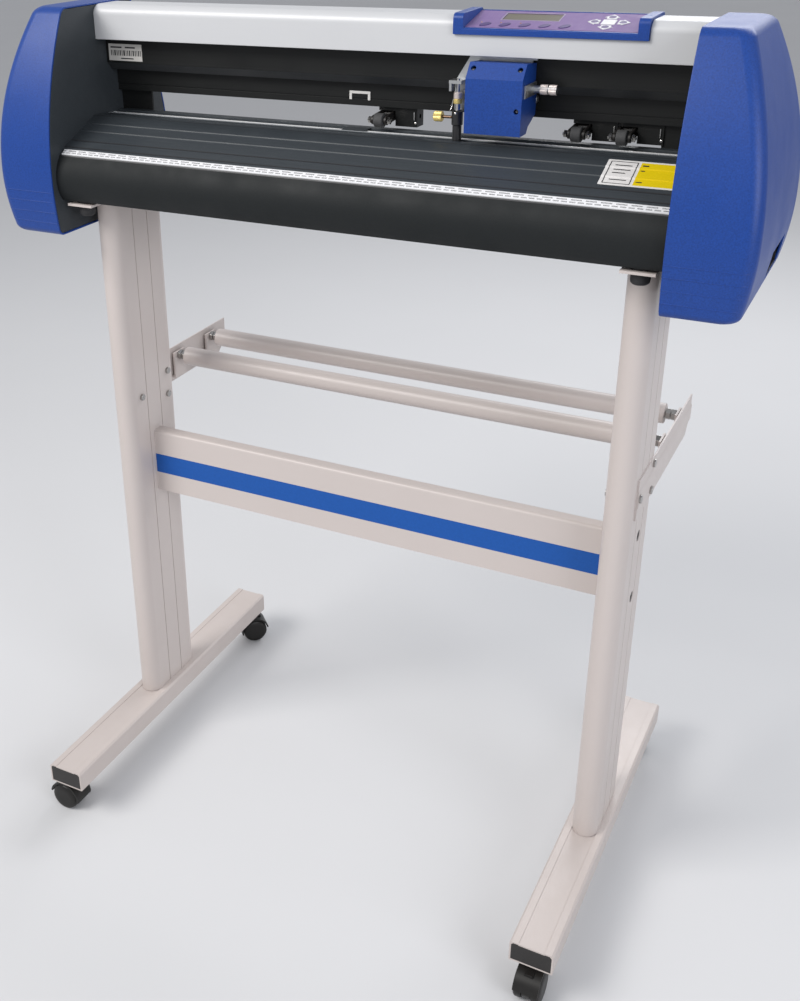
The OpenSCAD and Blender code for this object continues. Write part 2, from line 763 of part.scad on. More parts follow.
module rail_section() {
    difference() {
        polygon([[rail_low_y, rail_bottom], [rail_low_y, rail_step_z], [rail_high_y + 8, rail_step_z + 2],
            [rail_high_y, rail_band_z], [rail_high_y, rail_top], [rail_back_y, rail_top],
            [rail_back_y, rail_bottom]]);
        // hollow chamber
        translate([rail_low_y + 4, rail_bottom + 5]) square([rail_back_y - rail_low_y - 8, 22]);
        translate([rail_high_y + 16, rail_step_z + 5]) square([rail_back_y - rail_high_y - 20, 26]);
        // groove for the carriage's hook, along the top
        translate([rail_high_y + 9, rail_top - 7]) square([8, 8]);
        // fine line along the lower face
        translate([rail_low_y - 1, rail_bottom + 7]) square([2, 1.4]);
        translate([rail_high_y - 1, rail_band_z + 1]) square([1.6, 1]);
    }
}

module pinch_block(x) {
    lip_z = arm_z + arm_r + clear;
    difference() {
        union() {
            translate([x + block_x[0], arm_y - 9, rail_bottom - block_drop])
                cube([block_x[1] - block_x[0], 18, block_drop - joint_gap]);
            translate([x + block_lip_x, arm_y - 9, lip_z])
                cube([block_x[0] - block_lip_x + eps, 18, rail_bottom - joint_gap - lip_z]);
        }
        rod_x(x + block_x[0] - 1, x + block_x[1] + 1, arm_y, arm_z, pivot_r + fit);
    }
}

module rail_beam() {
    color(black) translate([0, 0, deck]) {
        span(-inner, inner) rail_section();
        // end brackets that join the beam to the platen's rear edge
        both_sides() translate([inner - 46, flat_y1 + joint_gap, platen_rise - bracket_lap])
            cube([46, 3, rail_bottom - platen_rise + bracket_lap - joint_gap]);
        for (x = pinch_places) pinch_block(x);
    }
}

function cover_outline(inset) =
    // front wall, rounded edge, flat top, sloping back, as points (y, z)
    concat([[cover_front_y + inset, cover_bottom]],
        [for (a = [180:-15:90]) [cover_front_y + cover_round + (cover_round - inset) * cos(a),
            cover_top - cover_round + (cover_round - inset) * sin(a)]],
        [[cover_flat_y - inset / 2, cover_top - inset]],
        [for (p = cover_rear) [p[0] - inset, p[1] - (p == cover_rear[3] ? 0 : inset / 2)]]);

module cover_section() {
    outer = cover_outline(0);
    within = cover_outline(skin);
    polygon(concat(outer, [for (i = [len(within) - 1:-1:0]) within[i]]));
}

module top_cover() {
    color([0.93, 0.92, 0.93]) translate([0, 0, deck]) difference() {
        span(-inner, inner) cover_section();
        // pocket for the control panel
        translate([panel_x0 - 0.2, -10, pocket_z - 0.2])
            cube([panel_x1 - panel_x0 + 0.4, panel_back_y + 10.2, 40]);
    }
}

// ---- control panel ----

module on_panel() {
    // local frame of the keypad: x along it from its left edge, y up its slope, z out of it
    translate([keypad_x0, panel_y, deck + panel_z]) rotate([panel_tilt, 0, 0]) children();
}

module panel_bezel() {
    back_z = panel_z + panel_depth * sin(panel_tilt);
    lip_front = -1.5;
    rear_lip_y = panel_back_y - 3.6;
    color(blue) {
        translate([0, 0, deck]) {
            // raised ends
            for (x = [panel_x0, panel_x1 - panel_cheek])
                span(x, x + panel_cheek) polygon(concat([[lip_front, pocket_z]],
                    [for (a = [180:-15:90]) [lip_front + cheek_round * (1 + cos(a)),
                        cheek_top - cheek_round * (1 - sin(a))]],
                    [[panel_back_y - 4, cheek_top + 1], [panel_back_y, cheek_top - 1],
                    [panel_back_y, back_z - 6], [22, panel_z + 2], [8, pocket_z]]));
            // front lip
            span(panel_x0 + panel_cheek - eps, panel_x1 - panel_cheek + eps)
                polygon([[lip_front, pocket_z], [lip_front, panel_z + 0.4], [lip_front + 1.3, panel_z + 1.7],
                    [panel_y + 0.4, panel_z + 1.9], [panel_y + 1, panel_z - 1],
                    [panel_y + 2, panel_z - 3.5], [8, pocket_z]]);
            // rear lip
            span(panel_x0 + panel_cheek - eps, panel_x1 - panel_cheek + eps)
                polygon([[rear_lip_y, back_z - 6], [panel_back_y, back_z - 6],
                    [panel_back_y, back_z + 1], [panel_back_y - 1, back_z + 2.2],
                    [rear_lip_y, back_z + 2.2]]);
        }
        // floor under the keypad, with a window for the display
        on_panel() difference() {
            translate([-eps, 0, -bezel_t]) cube([keypad_w + 2 * eps, panel_depth - 0.6, bezel_t]);
            translate([lcd_u[0] * keypad_w + 2, lcd_v[0] * panel_depth + 2, -5])
                cube([(lcd_u[1] - lcd_u[0]) * keypad_w - 4, (lcd_v[1] - lcd_v[0]) * panel_depth - 4, 10]);
        }
    }
}

module arrow_shape(grow) {
    // arrow that points along +Y from the origin
    shoulder_y = arrow_l - arrow_head - grow / 2;
    polygon([[-arrow_stem / 2 - grow, -grow], [arrow_stem / 2 + grow, -grow],
        [arrow_stem / 2 + grow, shoulder_y], [arrow_w / 2 + grow, shoulder_y], [0, arrow_l + 1.5 * grow],
        [-arrow_w / 2 - grow, shoulder_y], [-arrow_stem / 2 - grow, shoulder_y]]);
}

module oval_shape(i, grow) {
    translate([oval_u[i] * keypad_w, oval_v * panel_depth]) rotate(oval_lean)
        polygon([for (a = [0:12:348]) [(oval_a + grow) * cos(a), (oval_b + grow) * sin(a)]]);
}

module cross_shape(turn, grow) {
    translate([cross_u * keypad_w, cross_v * panel_depth]) rotate(turn)
        translate([0, arrow_off]) arrow_shape(grow);
}

module move_shape(grow) {
    translate([cross_u * keypad_w, cross_v * panel_depth]) square(square_key + 2 * grow, center = true);
}

module keypad() {
    color(purple) on_panel() difference() {
        linear_extrude(keypad_t) difference() {
            translate([0.2, 1.6]) square([keypad_w - 0.4, panel_depth - 3]);
            translate([lcd_u[0] * keypad_w, lcd_v[0] * panel_depth])
                square([(lcd_u[1] - lcd_u[0]) * keypad_w, (lcd_v[1] - lcd_v[0]) * panel_depth]);
            for (i = [0:4]) oval_shape(i, key_gap);
            for (t = [0, 90, 180, 270]) cross_shape(t, key_gap);
            move_shape(key_gap);
        }
        for (u = led_u) translate([u * keypad_w, led_v * panel_depth, -eps]) cylinder(r = led_r, h = 5);
    }
}

module lcd_window() {
    g = 0.2;
    w = (lcd_u[1] - lcd_u[0]) * keypad_w - 2 * g;
    h = (lcd_v[1] - lcd_v[0]) * panel_depth - 2 * g;
    color([0.35, 0.37, 0.30]) on_panel()
        translate([lcd_u[0] * keypad_w + g, lcd_v[0] * panel_depth + g, 0.1]) cube([w, h, keypad_t - 0.5]);
}

module key_body() {
    on_panel() translate([0, 0, key_low]) linear_extrude(key_t) children();
}

module oval_key(i) { color([0.25, 0.14, 0.45]) key_body() oval_shape(i, 0); }
module arrow_key(turn) { color(white) key_body() cross_shape(turn, 0); }
module oval_key_1() { oval_key(0); }
module oval_key_2() { oval_key(1); }
module oval_key_3() { oval_key(2); }
module oval_key_4() { oval_key(3); }
module oval_key_5() { oval_key(4); }
module arrow_key_up() { arrow_key(0); }
module arrow_key_left() { arrow_key(90); }
module arrow_key_down() { arrow_key(180); }
module arrow_key_right() { arrow_key(270); }
module move_key() { color(white) key_body() move_shape(0); }

// ---- drive ----

module grit_shaft() {
    color(steel) translate([0, 0, deck]) {
        rod_x(-inner - side_plate_t - 8, feed_x0, shaft_y, shaft_z, shaft_r);
        // pulley on the right end, with flanges
        rod_x(feed_x0, feed_x0 + feed_w, shaft_y, shaft_z, feed_r - 1);
        for (x = [feed_x0 - 1, feed_x0 + feed_w - 1]) rod_x(x, x + 1, shaft_y, shaft_z, feed_r + 1);
    }
}

module feed_motor_pulley() {
    y = feed_motor_yz[0];
    z = feed_motor_yz[1];
    color(brass) translate([0, 0, deck]) {
        rod_x(feed_x0 - 14, feed_x0 + feed_w, y, z, 2.5);
        rod_x(feed_x0, feed_x0 + feed_w, y, z, feed_pinion_r - 1);
        for (x = [feed_x0 - 1, feed_x0 + feed_w - 1]) rod_x(x, x + 1, y, z, feed_pinion_r + 1);
    }
}

module x_pulley(x) {
    r = x_pulley_r;
    rod_y(x, belt_y0 - 0.5, belt_y0 + belt_w + 0.5, belt_z, r - 1);
    for (y = [belt_y0 - 1.5, belt_y0 + belt_w + 0.5]) rod_y(x, y, y + 1, belt_z, r + 1);
}

module x_motor_pulley() {
    color(brass) translate([0, 0, deck]) {
        x_pulley(-belt_x);
        rod_y(-belt_x, belt_y0 + belt_w, belt_y0 + belt_w + 16, belt_z, 2.5);
    }
}

module x_idler_pulley() {
    color(steel) translate([0, 0, deck]) difference() {
        x_pulley(belt_x);
        rod_y(belt_x, belt_y0 - 5, belt_y0 + belt_w + 5, belt_z, 3 + fit);
    }
}

module motors() {
    h = motor_w / 2;
    x0 = inner + side_plate_t + 1;
    y = feed_motor_yz[0];
    z = feed_motor_yz[1];
    color([0.2, 0.2, 0.22]) translate([0, 0, deck]) {
        // carriage motor in the left cap
        difference() {
            translate([-belt_x - h, belt_y0 + belt_w + 6, belt_z - h]) cube([motor_w, 34, motor_w]);
            rod_y(-belt_x, belt_y0 + belt_w + 5, belt_y0 + belt_w + 17, belt_z, 2.5 + fit);
        }
        // feed motor in the right cap
        difference() {
            translate([x0, y - h, z - h]) cube([feed_x0 - 3 - x0, motor_w, motor_w]);
            rod_x(feed_x0 - 15, feed_x0 - 2, y, z, 2.5 + fit);
        }
    }
}

module control_board() {
    z0 = body_floor + skin;
    color([0.1, 0.35, 0.2]) translate([0, 0, deck + z0]) {
        translate([-110, 30, 0]) cube([180, 85, 2]);
        for (x = [-90:40:30]) translate([x, 50, 2]) cube([18, 18, 4]);
    }
    // power supply in its case
    color(steel) translate([120, 32, deck + z0]) cube([110, 80, 34]);
}

module belt_loop(a, ra, b, rb) {
    // flat loop round two circles of radii ra and rb, drawn in the plane
    difference() {
        hull() { translate(a) circle(r = ra + belt_t); translate(b) circle(r = rb + belt_t); }
        hull() { translate(a) circle(r = ra); translate(b) circle(r = rb); }
    }
}

module drive_belts() {
    y = feed_motor_yz[0];
    z = feed_motor_yz[1];
    g = 0.3;
    color(black) translate([0, 0, deck]) {
        translate([0, belt_y0 + belt_w, 0]) rotate([90, 0, 0]) linear_extrude(belt_w)
            belt_loop([-belt_x, belt_z], x_pulley_r - 1 + g, [belt_x, belt_z], x_pulley_r - 1 + g);
        span(feed_x0 + 0.5, feed_x0 + feed_w - 1.5)
            belt_loop([shaft_y, shaft_z], feed_r - 1 + g, [y, z], feed_pinion_r - 1 + g);
    }
}

// ---- pinch units ----

module pinch_arm(x) {
    color(black) translate([x, 0, deck]) {
        for (s = [0, 1]) mirror([s, 0, 0]) difference() {
            union() {
                rod_x(cheek_in, cheek_out, pinch_y, pinch_z, arm_r);
                rod_x(cheek_in, cheek_out, arm_y, arm_z, arm_r);
                span(cheek_in, cheek_out) polygon([[pinch_y - 0.6, pinch_z + arm_r],
                    [pinch_y + 0.6, pinch_z - arm_r], [arm_y + 0.6, arm_z - arm_r],
                    [arm_y - 0.6, arm_z + arm_r]]);
            }
            rod_x(0, cheek_out + 1, pinch_y, pinch_z, spindle_r + fit);
        }
        rod_x(-cheek_out, block_x[0] - clear, arm_y, arm_z, arm_r);
        rod_x(0, block_x[1] - 2, arm_y, arm_z, pivot_r);
    }
}

module pinch_wheel(x) {
    color([0.25, 0.25, 0.26]) translate([x, 0, deck]) {
        rod_x(-cheek_out - 1, cheek_out + 1, pinch_y, pinch_z, spindle_r);
        translate([-pinch_w / 2, pinch_y, pinch_z]) rotate([0, 90, 0]) rotate_extrude($fn = 64)
            polygon([[0, 0], [pinch_r - 0.8, 0], [pinch_r, 0.8], [pinch_r, pinch_w - 0.8],
                [pinch_r - 0.8, pinch_w], [0, pinch_w]]);
    }
}

module pinch_arm_1() { pinch_arm(pinch_places[0]); }
module pinch_arm_2() { pinch_arm(pinch_places[1]); }
module pinch_arm_3() { pinch_arm(pinch_places[2]); }
module pinch_wheel_1() { pinch_wheel(pinch_places[0]); }
module pinch_wheel_2() { pinch_wheel(pinch_places[1]); }
module pinch_wheel_3() { pinch_wheel(pinch_places[2]); }

// ---- carriage ----

module carriage_plate() {
    y = carriage_plate_y;
    t = carriage_plate_t;
    jaw_low = belt_z - x_pulley_r + 1 - 0.3 - belt_t - clear;
    jaw_high = belt_z - x_pulley_r + 1 - 0.3 + clear;
    right = box_x1 + 2;
    inside = box_x1 - skin - clear;
    color([0.62, 0.63, 0.64]) translate([0, 0, deck]) {
        // back plate with a sloping left edge
        translate([0, y + t, 0]) rotate([90, 0, 0]) linear_extrude(t)
            polygon([[pen_x - 7, 125], [pen_x - 7, 156], [pen_x + 9, 182], [pen_x + 9, jaw_high + 2],
                [right, jaw_high + 2], [right, box_top + clear], [inside, box_top + clear],
                [inside, nut_z + flange_half], [right, nut_z + flange_half],
                [right, nut_z - flange_half], [inside, nut_z - flange_half], [inside, 125]]);
        // hook over the beam's top edge, with a tongue in its groove
        translate([box_x0, y, rail_top + clear])
            cube([box_x1 - box_x0, rail_high_y + 16 - y, jaw_low - rail_top - clear]);
        translate([box_x0, rail_high_y + 9 + clear, rail_top - 6.4])
            cube([box_x1 - box_x0, 8 - 2 * clear, 8]);
        // upper jaw of the belt clamp
        translate([box_x0 + 10, y, jaw_high]) cube([30, belt_y0 + belt_w - y, 2]);
        // bridge that guides the pen holder's stem, with its bore, and its post
        difference() {
            translate([pen_x - 9, pen_y - 5, guide_z]) cube([14, y - pen_y + 5 + eps, guide_t]);
            translate([pen_x, pen_y, guide_z - 1]) cylinder(r = pen_stem_r + fit, h = guide_t + 2);
        }
        translate([pen_x - 9, pen_y - 4, guide_z - 8]) cube([2.6, 8, 8 + eps]);
        // side flange with the thumb nut in two knurled parts
        translate([box_x1 + 0.5, -flange_reach, nut_z - flange_half])
            cube([1.5, y + flange_reach + eps, 2 * flange_half]);
        rod_x(box_x1 + 1, box_x1 + 27, pen_y, nut_z, 4);
        for (x = [10, 19.3]) rod_x(box_x1 + x, box_x1 + x + 8.3, pen_y, nut_z, 5);
    }
}

module carriage_cover() {
    // side outline in (y, z): sloping brow at the top front, cut-away rear lower corner
    lip = carriage_plate_y - clear / 2;
    box_fall = 2;                           // the top falls a little towards the back
    well_inset = 5.6;
    well_rise = 0.64;                       // up the brow
    color(blue) translate([0, 0, deck]) difference() {
        union() {
            span(box_x0, box_x1) polygon([[box_front, box_low], [box_front, box_brow], [box_brow_y, box_top],
                [lip, box_top - box_fall], [lip, box_rear_low], [3, 115.5], [-2, box_low]]);
            // the right wall reaches back past the plate's edge
            span(box_x1 - skin, box_x1) polygon([[lip - 1, box_top - box_fall],
                [21, box_top - box_fall - 0.4], [21, 151], [26, 147], [26, box_rear_low + 4],
                [lip - 1, box_rear_low]]);
        }
        // hollow behind the walls
        span(box_x0 + skin, box_x1 - skin)
            polygon([[box_front + skin, box_low + skin], [box_front + skin, box_brow - 1],
                [box_brow_y + 1, box_top - skin], [lip + 1, box_top - skin - box_fall],
                [lip + 1, box_rear_low + skin], [3, 115.5 + skin], [-3, box_low + skin]]);
        // notch for the side flange
        translate([box_x1 - skin - 1, lip, nut_z - flange_half - clear])
            cube([skin + 2, 20, 2 * (flange_half + clear)]);
        // screw wells in the brow and in the front face
        for (x = [box_x0 + well_inset, box_x1 - well_inset])
            translate([x, box_front + well_rise * (box_brow_y - box_front),
                box_brow + well_rise * (box_top - box_brow)]) rotate([51, 0, 0])
                    cylinder(r = 2.9, h = 12, center = true);
        rod_y(box_x1 - well_inset, box_front - 2, box_front + 8, 134.4, 2.7);
    }
}

module pen_holder() {
    color(black) translate([pen_x, pen_y, deck]) {
        rotate_extrude() polygon([[0, pen_bottom], [2.2, pen_bottom], [pen_r, pen_bottom + 2.5],
            [pen_r, 111], [sleeve_r, 112], [sleeve_r, 126], [3, 127.5], [3, 132.5], [4.6, 132.5],
            [4.6, 137.2], [3, 137.2], [3, 139], [4.7, 139], [4.7, 146], [pen_stem_r, 146],
            [pen_stem_r, pen_top], [0, pen_top]]);
        // blade tip
        translate([0, 0, pen_bottom - 0.4]) cylinder(r1 = 0.3, r2 = 0.8, h = 0.6, $fn = 16);
    }
}

module clamp_knob() {
    x = pen_x;
    color(brass) translate([0, 0, deck]) {
        rod_x(x - knob_near - 1, x - sleeve_r - 0.3, pen_y, knob_z, 1.6);
        rod_x(x - knob_far, x - knob_near, pen_y, knob_z, knob_r);
        rod_x(x - knob_far - 0.8, x - knob_far, pen_y, knob_z, knob_r - 0.6);
    }
}

// ---- power inlet ----

module power_inlet() {
    w = inlet_window;
    color(black) translate([0, 0, deck]) difference() {
        union() {
            translate([inlet_x - skin, w[0] - 3, w[2] - 2]) cube([skin, w[1] - w[0] + 6, w[3] - w[2] + 4]);
            // body of the mains socket
            translate([inlet_x - 20, socket_y[0] - 2, socket_z[0] - 2])
                cube([21, socket_y[1] - socket_y[0] + 4, socket_z[1] - socket_z[0] + 4]);
            // surround that lines the cap's recess
            translate([inlet_x - eps, w[0] + 0.3, w[2] + 0.3]) difference() {
                cube([9, w[1] - w[0] - 0.6, w[3] - w[2] - 0.6]);
                translate([-1, 1.2, 1.2]) cube([12, w[1] - w[0] - 3, w[3] - w[2] - 3]);
            }
            // frame of the rocker
            translate([inlet_x - 8, rocker_y - 12, rocker_z - 9]) cube([9, 24, 18]);
        }
        translate([inlet_x - 17, socket_y[0], socket_z[0]])
            cube([30, socket_y[1] - socket_y[0], socket_z[1] - socket_z[0]]);
        translate([inlet_x - 7, rocker_y - 9.6, rocker_z - 6.8]) cube([20, 19.2, 13.6]);
        translate([inlet_x - 1, rocker_y, rocker_z - rocker_pin_l / 2])
            cylinder(r = rocker_pin_r + fit, h = rocker_pin_l);
        // data port
        translate([inlet_x - skin - 1, 25, -16]) cube([10, 5, 10]);
    }
    // contact pins of the socket
    socket_mid = [(socket_y[0] + socket_y[1]) / 2, (socket_z[0] + socket_z[1]) / 2];
    color(steel) translate([0, 0, deck]) for (p = [[-6, 2], [0, -3], [6, 2]])
        translate([inlet_x - 18, socket_mid[0] + p[0] - 1, socket_mid[1] + p[1] - 2]) cube([13, 2, 4]);
}

module rocker_switch() {
    pin = rocker_pin_l - 2 * clear;
    color([0.5, 0.08, 0.08]) translate([inlet_x - 1, rocker_y, deck + rocker_z])
        rotate([0, 0, -rocker_tilt]) {
            translate([-1, -8, -6.2]) cube([5, 16, 12.4]);
            translate([0, 0, -pin / 2]) cylinder(r = rocker_pin_r, h = pin);
        }
}

foot_bars();
foot_end_caps();
uprights();
stretcher_bar();
stretcher_stripe();
stand_bolts();
mount_plates();
rubber_mounts();
roll_brackets();
front_roller();
rear_roller();
caster_fork_1();
caster_fork_2();
caster_fork_3();
caster_fork_4();
caster_wheels_1();
caster_wheels_2();
caster_wheels_3();
caster_wheels_4();
left_end_cap();
right_end_cap();
side_plates();
platen();
front_apron();
ruler_strip();
rail_beam();
top_cover();
rear_cover();
panel_bezel();
keypad();
lcd_window();
motors();
control_board();
power_inlet();
drive_belts();
grit_shaft();
feed_motor_pulley();
x_motor_pulley();
x_idler_pulley();
carriage_plate();
carriage_cover();
pen_holder();
clamp_knob();
pinch_arm_1();
pinch_arm_2();
pinch_arm_3();
pinch_wheel_1();
pinch_wheel_2();
pinch_wheel_3();
oval_key_1();
oval_key_2();
oval_key_3();
oval_key_4();
oval_key_5();
arrow_key_up();
arrow_key_down();
arrow_key_left();
arrow_key_right();
move_key();
rocker_switch();
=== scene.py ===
"""Looks of the vinyl cutter on its wheeled stand: materials, detailed pieces, lights and camera."""

import math

import bmesh
import bpy
from mathutils import Matrix, Vector


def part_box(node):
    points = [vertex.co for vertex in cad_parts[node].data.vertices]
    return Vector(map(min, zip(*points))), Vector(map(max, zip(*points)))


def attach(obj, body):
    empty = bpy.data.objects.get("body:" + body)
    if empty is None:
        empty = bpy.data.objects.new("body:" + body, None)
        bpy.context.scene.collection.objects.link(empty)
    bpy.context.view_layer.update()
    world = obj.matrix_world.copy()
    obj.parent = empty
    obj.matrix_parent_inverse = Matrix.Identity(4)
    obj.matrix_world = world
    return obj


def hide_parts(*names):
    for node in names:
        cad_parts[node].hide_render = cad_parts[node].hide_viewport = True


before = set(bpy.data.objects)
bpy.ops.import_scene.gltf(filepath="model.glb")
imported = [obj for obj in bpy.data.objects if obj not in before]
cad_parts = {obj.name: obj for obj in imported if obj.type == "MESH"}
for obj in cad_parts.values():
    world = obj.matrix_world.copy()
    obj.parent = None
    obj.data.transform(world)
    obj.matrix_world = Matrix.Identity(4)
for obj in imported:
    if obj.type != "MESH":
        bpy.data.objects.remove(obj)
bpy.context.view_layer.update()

MM = 0.001
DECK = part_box("uprights")[1].z          # top of the uprights: zero of the cutter's heights
SIDE = 0.335                            # centre plane of each upright
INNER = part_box("platen")[1].x           # inner face of the side plates


# ---- materials ----


class Shader:
    """A material with one principled shader, and short calls for the nodes that feed it."""

    def __init__(self, name, color=(0.8, 0.8, 0.8), roughness=0.5, metallic=0.0, specular=0.5, coat=0.0):
        self.material = bpy.data.materials.new(name)
        self.material.use_nodes = True
        self.tree = self.material.node_tree
        self.bsdf = self.tree.nodes["Principled BSDF"]
        self.set(self.bsdf, "Base Color", (*color, 1))
        self.set(self.bsdf, "Roughness", roughness)
        self.set(self.bsdf, "Metallic", metallic)
        self.set(self.bsdf, "Specular IOR Level", specular)
        self.set(self.bsdf, "Coat Weight", coat)
        self.set(self.bsdf, "Coat Roughness", 0.12)
        self.space = self.tree.nodes.new("ShaderNodeTexCoord").outputs["Object"]

    def set(self, node, socket, value):
        if isinstance(value, bpy.types.NodeSocket):
            self.tree.links.new(value, node.inputs[socket])
        else:
            node.inputs[socket].default_value = value

    def node(self, kind, inputs, **settings):
        made = self.tree.nodes.new("ShaderNode" + kind)
        for key, value in settings.items():
            setattr(made, key, value)
        for socket, value in inputs.items():
            self.set(made, socket, value)
        return made

    def stretched(self, x, y, z):
        return self.node("Mapping", {"Vector": self.space, "Scale": (x, y, z)}).outputs[0]

    def noise(self, scale, detail=3.0, space=None):
        inputs = {"Vector": space or self.space, "Scale": scale, "Detail": detail, "Roughness": 0.55}
        return self.node("TexNoise", inputs).outputs["Fac"]

    def math(self, operation, a, b=0.0, clamp=False):
        return self.node("Math", {0: a, 1: b}, operation=operation, use_clamp=clamp).outputs[0]

    def axis(self, name):
        return self.node("SeparateXYZ", {"Vector": self.space}).outputs[name]

    def level(self, value, low, high, to_low=0.0, to_high=1.0):
        inputs = {"Value": value, "From Min": low, "From Max": high, "To Min": to_low, "To Max": to_high}
        return self.node("MapRange", inputs).outputs[0]

    def blend(self, share, a, b):
        made = self.node("Mix", {"Factor": share}, data_type="RGBA")
        for socket, value in ((6, a), (7, b)):
            if isinstance(value, tuple):
                value = (*value, 1)
            self.set(made, socket, value)
        return made.outputs[2]

    def color(self, value):
        self.set(self.bsdf, "Base Color", value)

    def roughness(self, value):
        self.set(self.bsdf, "Roughness", value)

    def bump(self, height, depth, strength=1.0, onto=None):
        inputs = {"Height": height, "Distance": depth, "Strength": strength}
        if onto is not None:
            inputs["Normal"] = onto
        made = self.node("Bump", inputs).outputs[0]
        self.set(self.bsdf, "Normal", made)
        return made


def spread(color, share):
    """A darker and a lighter shade of a colour."""
    return tuple(c * (1 - share) for c in color), tuple(min(1.0, c * (1 + share)) for c in color)


def plastic(name, color, roughness, grain, depth, mottle=0.08, specular=0.5, coat=0.0):
    """Moulded plastic with a fine spark texture, slight mottling and uneven gloss."""
    s = Shader(name, color, roughness, specular=specular, coat=coat)
    low, high = spread(color, mottle)
    fine = s.noise(grain, 2.0)
    s.color(s.blend(s.level(fine, 0.3, 0.7), low, high))
    s.roughness(s.level(s.noise(14.0, 4.0), 0.3, 0.7, roughness - 0.05, roughness + 0.06))
    s.bump(fine, depth)
    return s.material


def powder_coat(name, color, roughness=0.36, peel=520.0):
    """Powder coat: a soft orange peel, faint cloudiness, and painted shade towards the floor, darker and
    warmer in blotches.
    """
    s = Shader(name, color, roughness, specular=0.5)
    low, high = spread(color, 0.010)
    cloudy = s.blend(s.level(s.noise(9.0, 4.0), 0.3, 0.7), low, high)
    # painted shade: a darker, warmer copy of the colour, blended in blotches below about a quarter metre
    painted_floor_shade = tuple(c * t for c, t in zip(color, (0.86, 0.83, 0.80)))
    near_floor = s.level(s.axis("Z"), 0.26, 0.05, 0.0, 0.55)
    s.color(s.blend(s.math("MULTIPLY", near_floor, s.noise(30.0, 5.0)), cloudy, painted_floor_shade))
    s.roughness(s.level(s.noise(60.0, 3.0), 0.3, 0.7, roughness - 0.02, roughness + 0.03))
    s.bump(s.noise(peel, 2.0), 0.00004)
    return s.material


def coated_sheet(name, color, roughness=0.46, streak=0.10, specular=0.5):
    """Dark coated metal, with a faint grain along the machine and a fine texture."""
    s = Shader(name, color, roughness, specular=specular)
    low, high = spread(color, 0.22)
    lines = s.noise(900.0, 3.0, space=s.stretched(0.012, 1.0, 1.0))
    fine = s.noise(1400.0, 2.0)
    both = s.math("ADD", s.math("MULTIPLY", lines, streak * 5), s.math("MULTIPLY", fine, 1 - streak * 5))
    s.color(s.blend(s.level(both, 0.3, 0.7), low, high))
    s.roughness(s.level(s.noise(22.0, 5.0), 0.3, 0.7, roughness - 0.07, roughness + 0.09))
    s.bump(both, 0.00003)
    return s.material


def metal(name, color, roughness, along=None, scratch=0.00002, metallic=1.0):
    """Bare or plated metal. along is the axis that the brushing follows, or None for plating."""
    s = Shader(name, color, roughness, metallic=metallic)
    squeeze = [0.02 if axis == along else 1.0 for axis in "XYZ"]
    grain = s.noise(1600.0, 4.0, space=s.stretched(*squeeze))
    low, high = spread(color, 0.07)
    s.color(s.blend(s.level(grain, 0.3, 0.7), low, high))
    s.roughness(s.level(s.noise(45.0, 4.0), 0.3, 0.7, max(0.04, roughness - 0.06), roughness + 0.08))
    s.bump(grain, scratch)
    return s.material


def rubber(name, color=(0.025, 0.025, 0.027)):
    s = Shader(name, color, 0.7, specular=0.35)
    low, high = spread(color, 0.25)
    fine = s.noise(1200.0, 3.0)
    s.color(s.blend(s.level(fine, 0.3, 0.7), low, high))
    s.roughness(s.level(s.noise(80.0, 3.0), 0.3, 0.7, 0.6, 0.82))
    s.bump(fine, 0.00005)
    return s.material


def shaft_steel():
    """Ground shaft, satin, with fine marks around it; its near-white, hardly metallic colour is partly the
    shaft's own silver and partly a painted highlight.
    """
    silver_and_painted_highlight = (0.94, 0.94, 0.95)
    s = Shader("shaft_steel", silver_and_painted_highlight, 0.35, metallic=0.1)
    rolled = s.noise(1500.0, 2.0, space=s.stretched(1.0, 0.05, 0.05))
    low, high = spread(silver_and_painted_highlight, 0.03)
    s.color(s.blend(s.level(rolled, 0.3, 0.7), low, high))
    s.roughness(s.level(s.noise(60.0), 0.3, 0.7, 0.3, 0.42))
    s.bump(rolled, 0.00002)
    return s.material


def ruler_film():
    """White film with two rows of short dark marks along it."""
    paper, ink = (0.78, 0.78, 0.80), (0.03, 0.03, 0.035)
    s = Shader("ruler_film", paper, 0.35, specular=0.5)
    x, y = s.axis("X"), s.axis("Y")
    low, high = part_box("ruler_strip")
    across = s.level(y, low.y, high.y)
    marks = None
    for middle, pitch, group in ((0.70, 0.00125, 0.0148), (0.30, 0.00105, 0.0083)):
        row = s.math("LESS_THAN", s.math("ABSOLUTE", s.math("SUBTRACT", across, middle)), 0.105)
        stroke = s.math("LESS_THAN", s.math("FRACT", s.math("DIVIDE", x, pitch)), 0.56)
        word = s.math("LESS_THAN", s.math("FRACT", s.math("DIVIDE", x, group)), 0.74)
        one = s.math("MULTIPLY", row, s.math("MULTIPLY", stroke, word))
        marks = one if marks is None else s.math("MAXIMUM", marks, one)
    s.color(s.blend(marks, paper, ink))
    s.roughness(s.level(s.noise(40.0, 3.0), 0.3, 0.7, 0.3, 0.42))
    return s.material


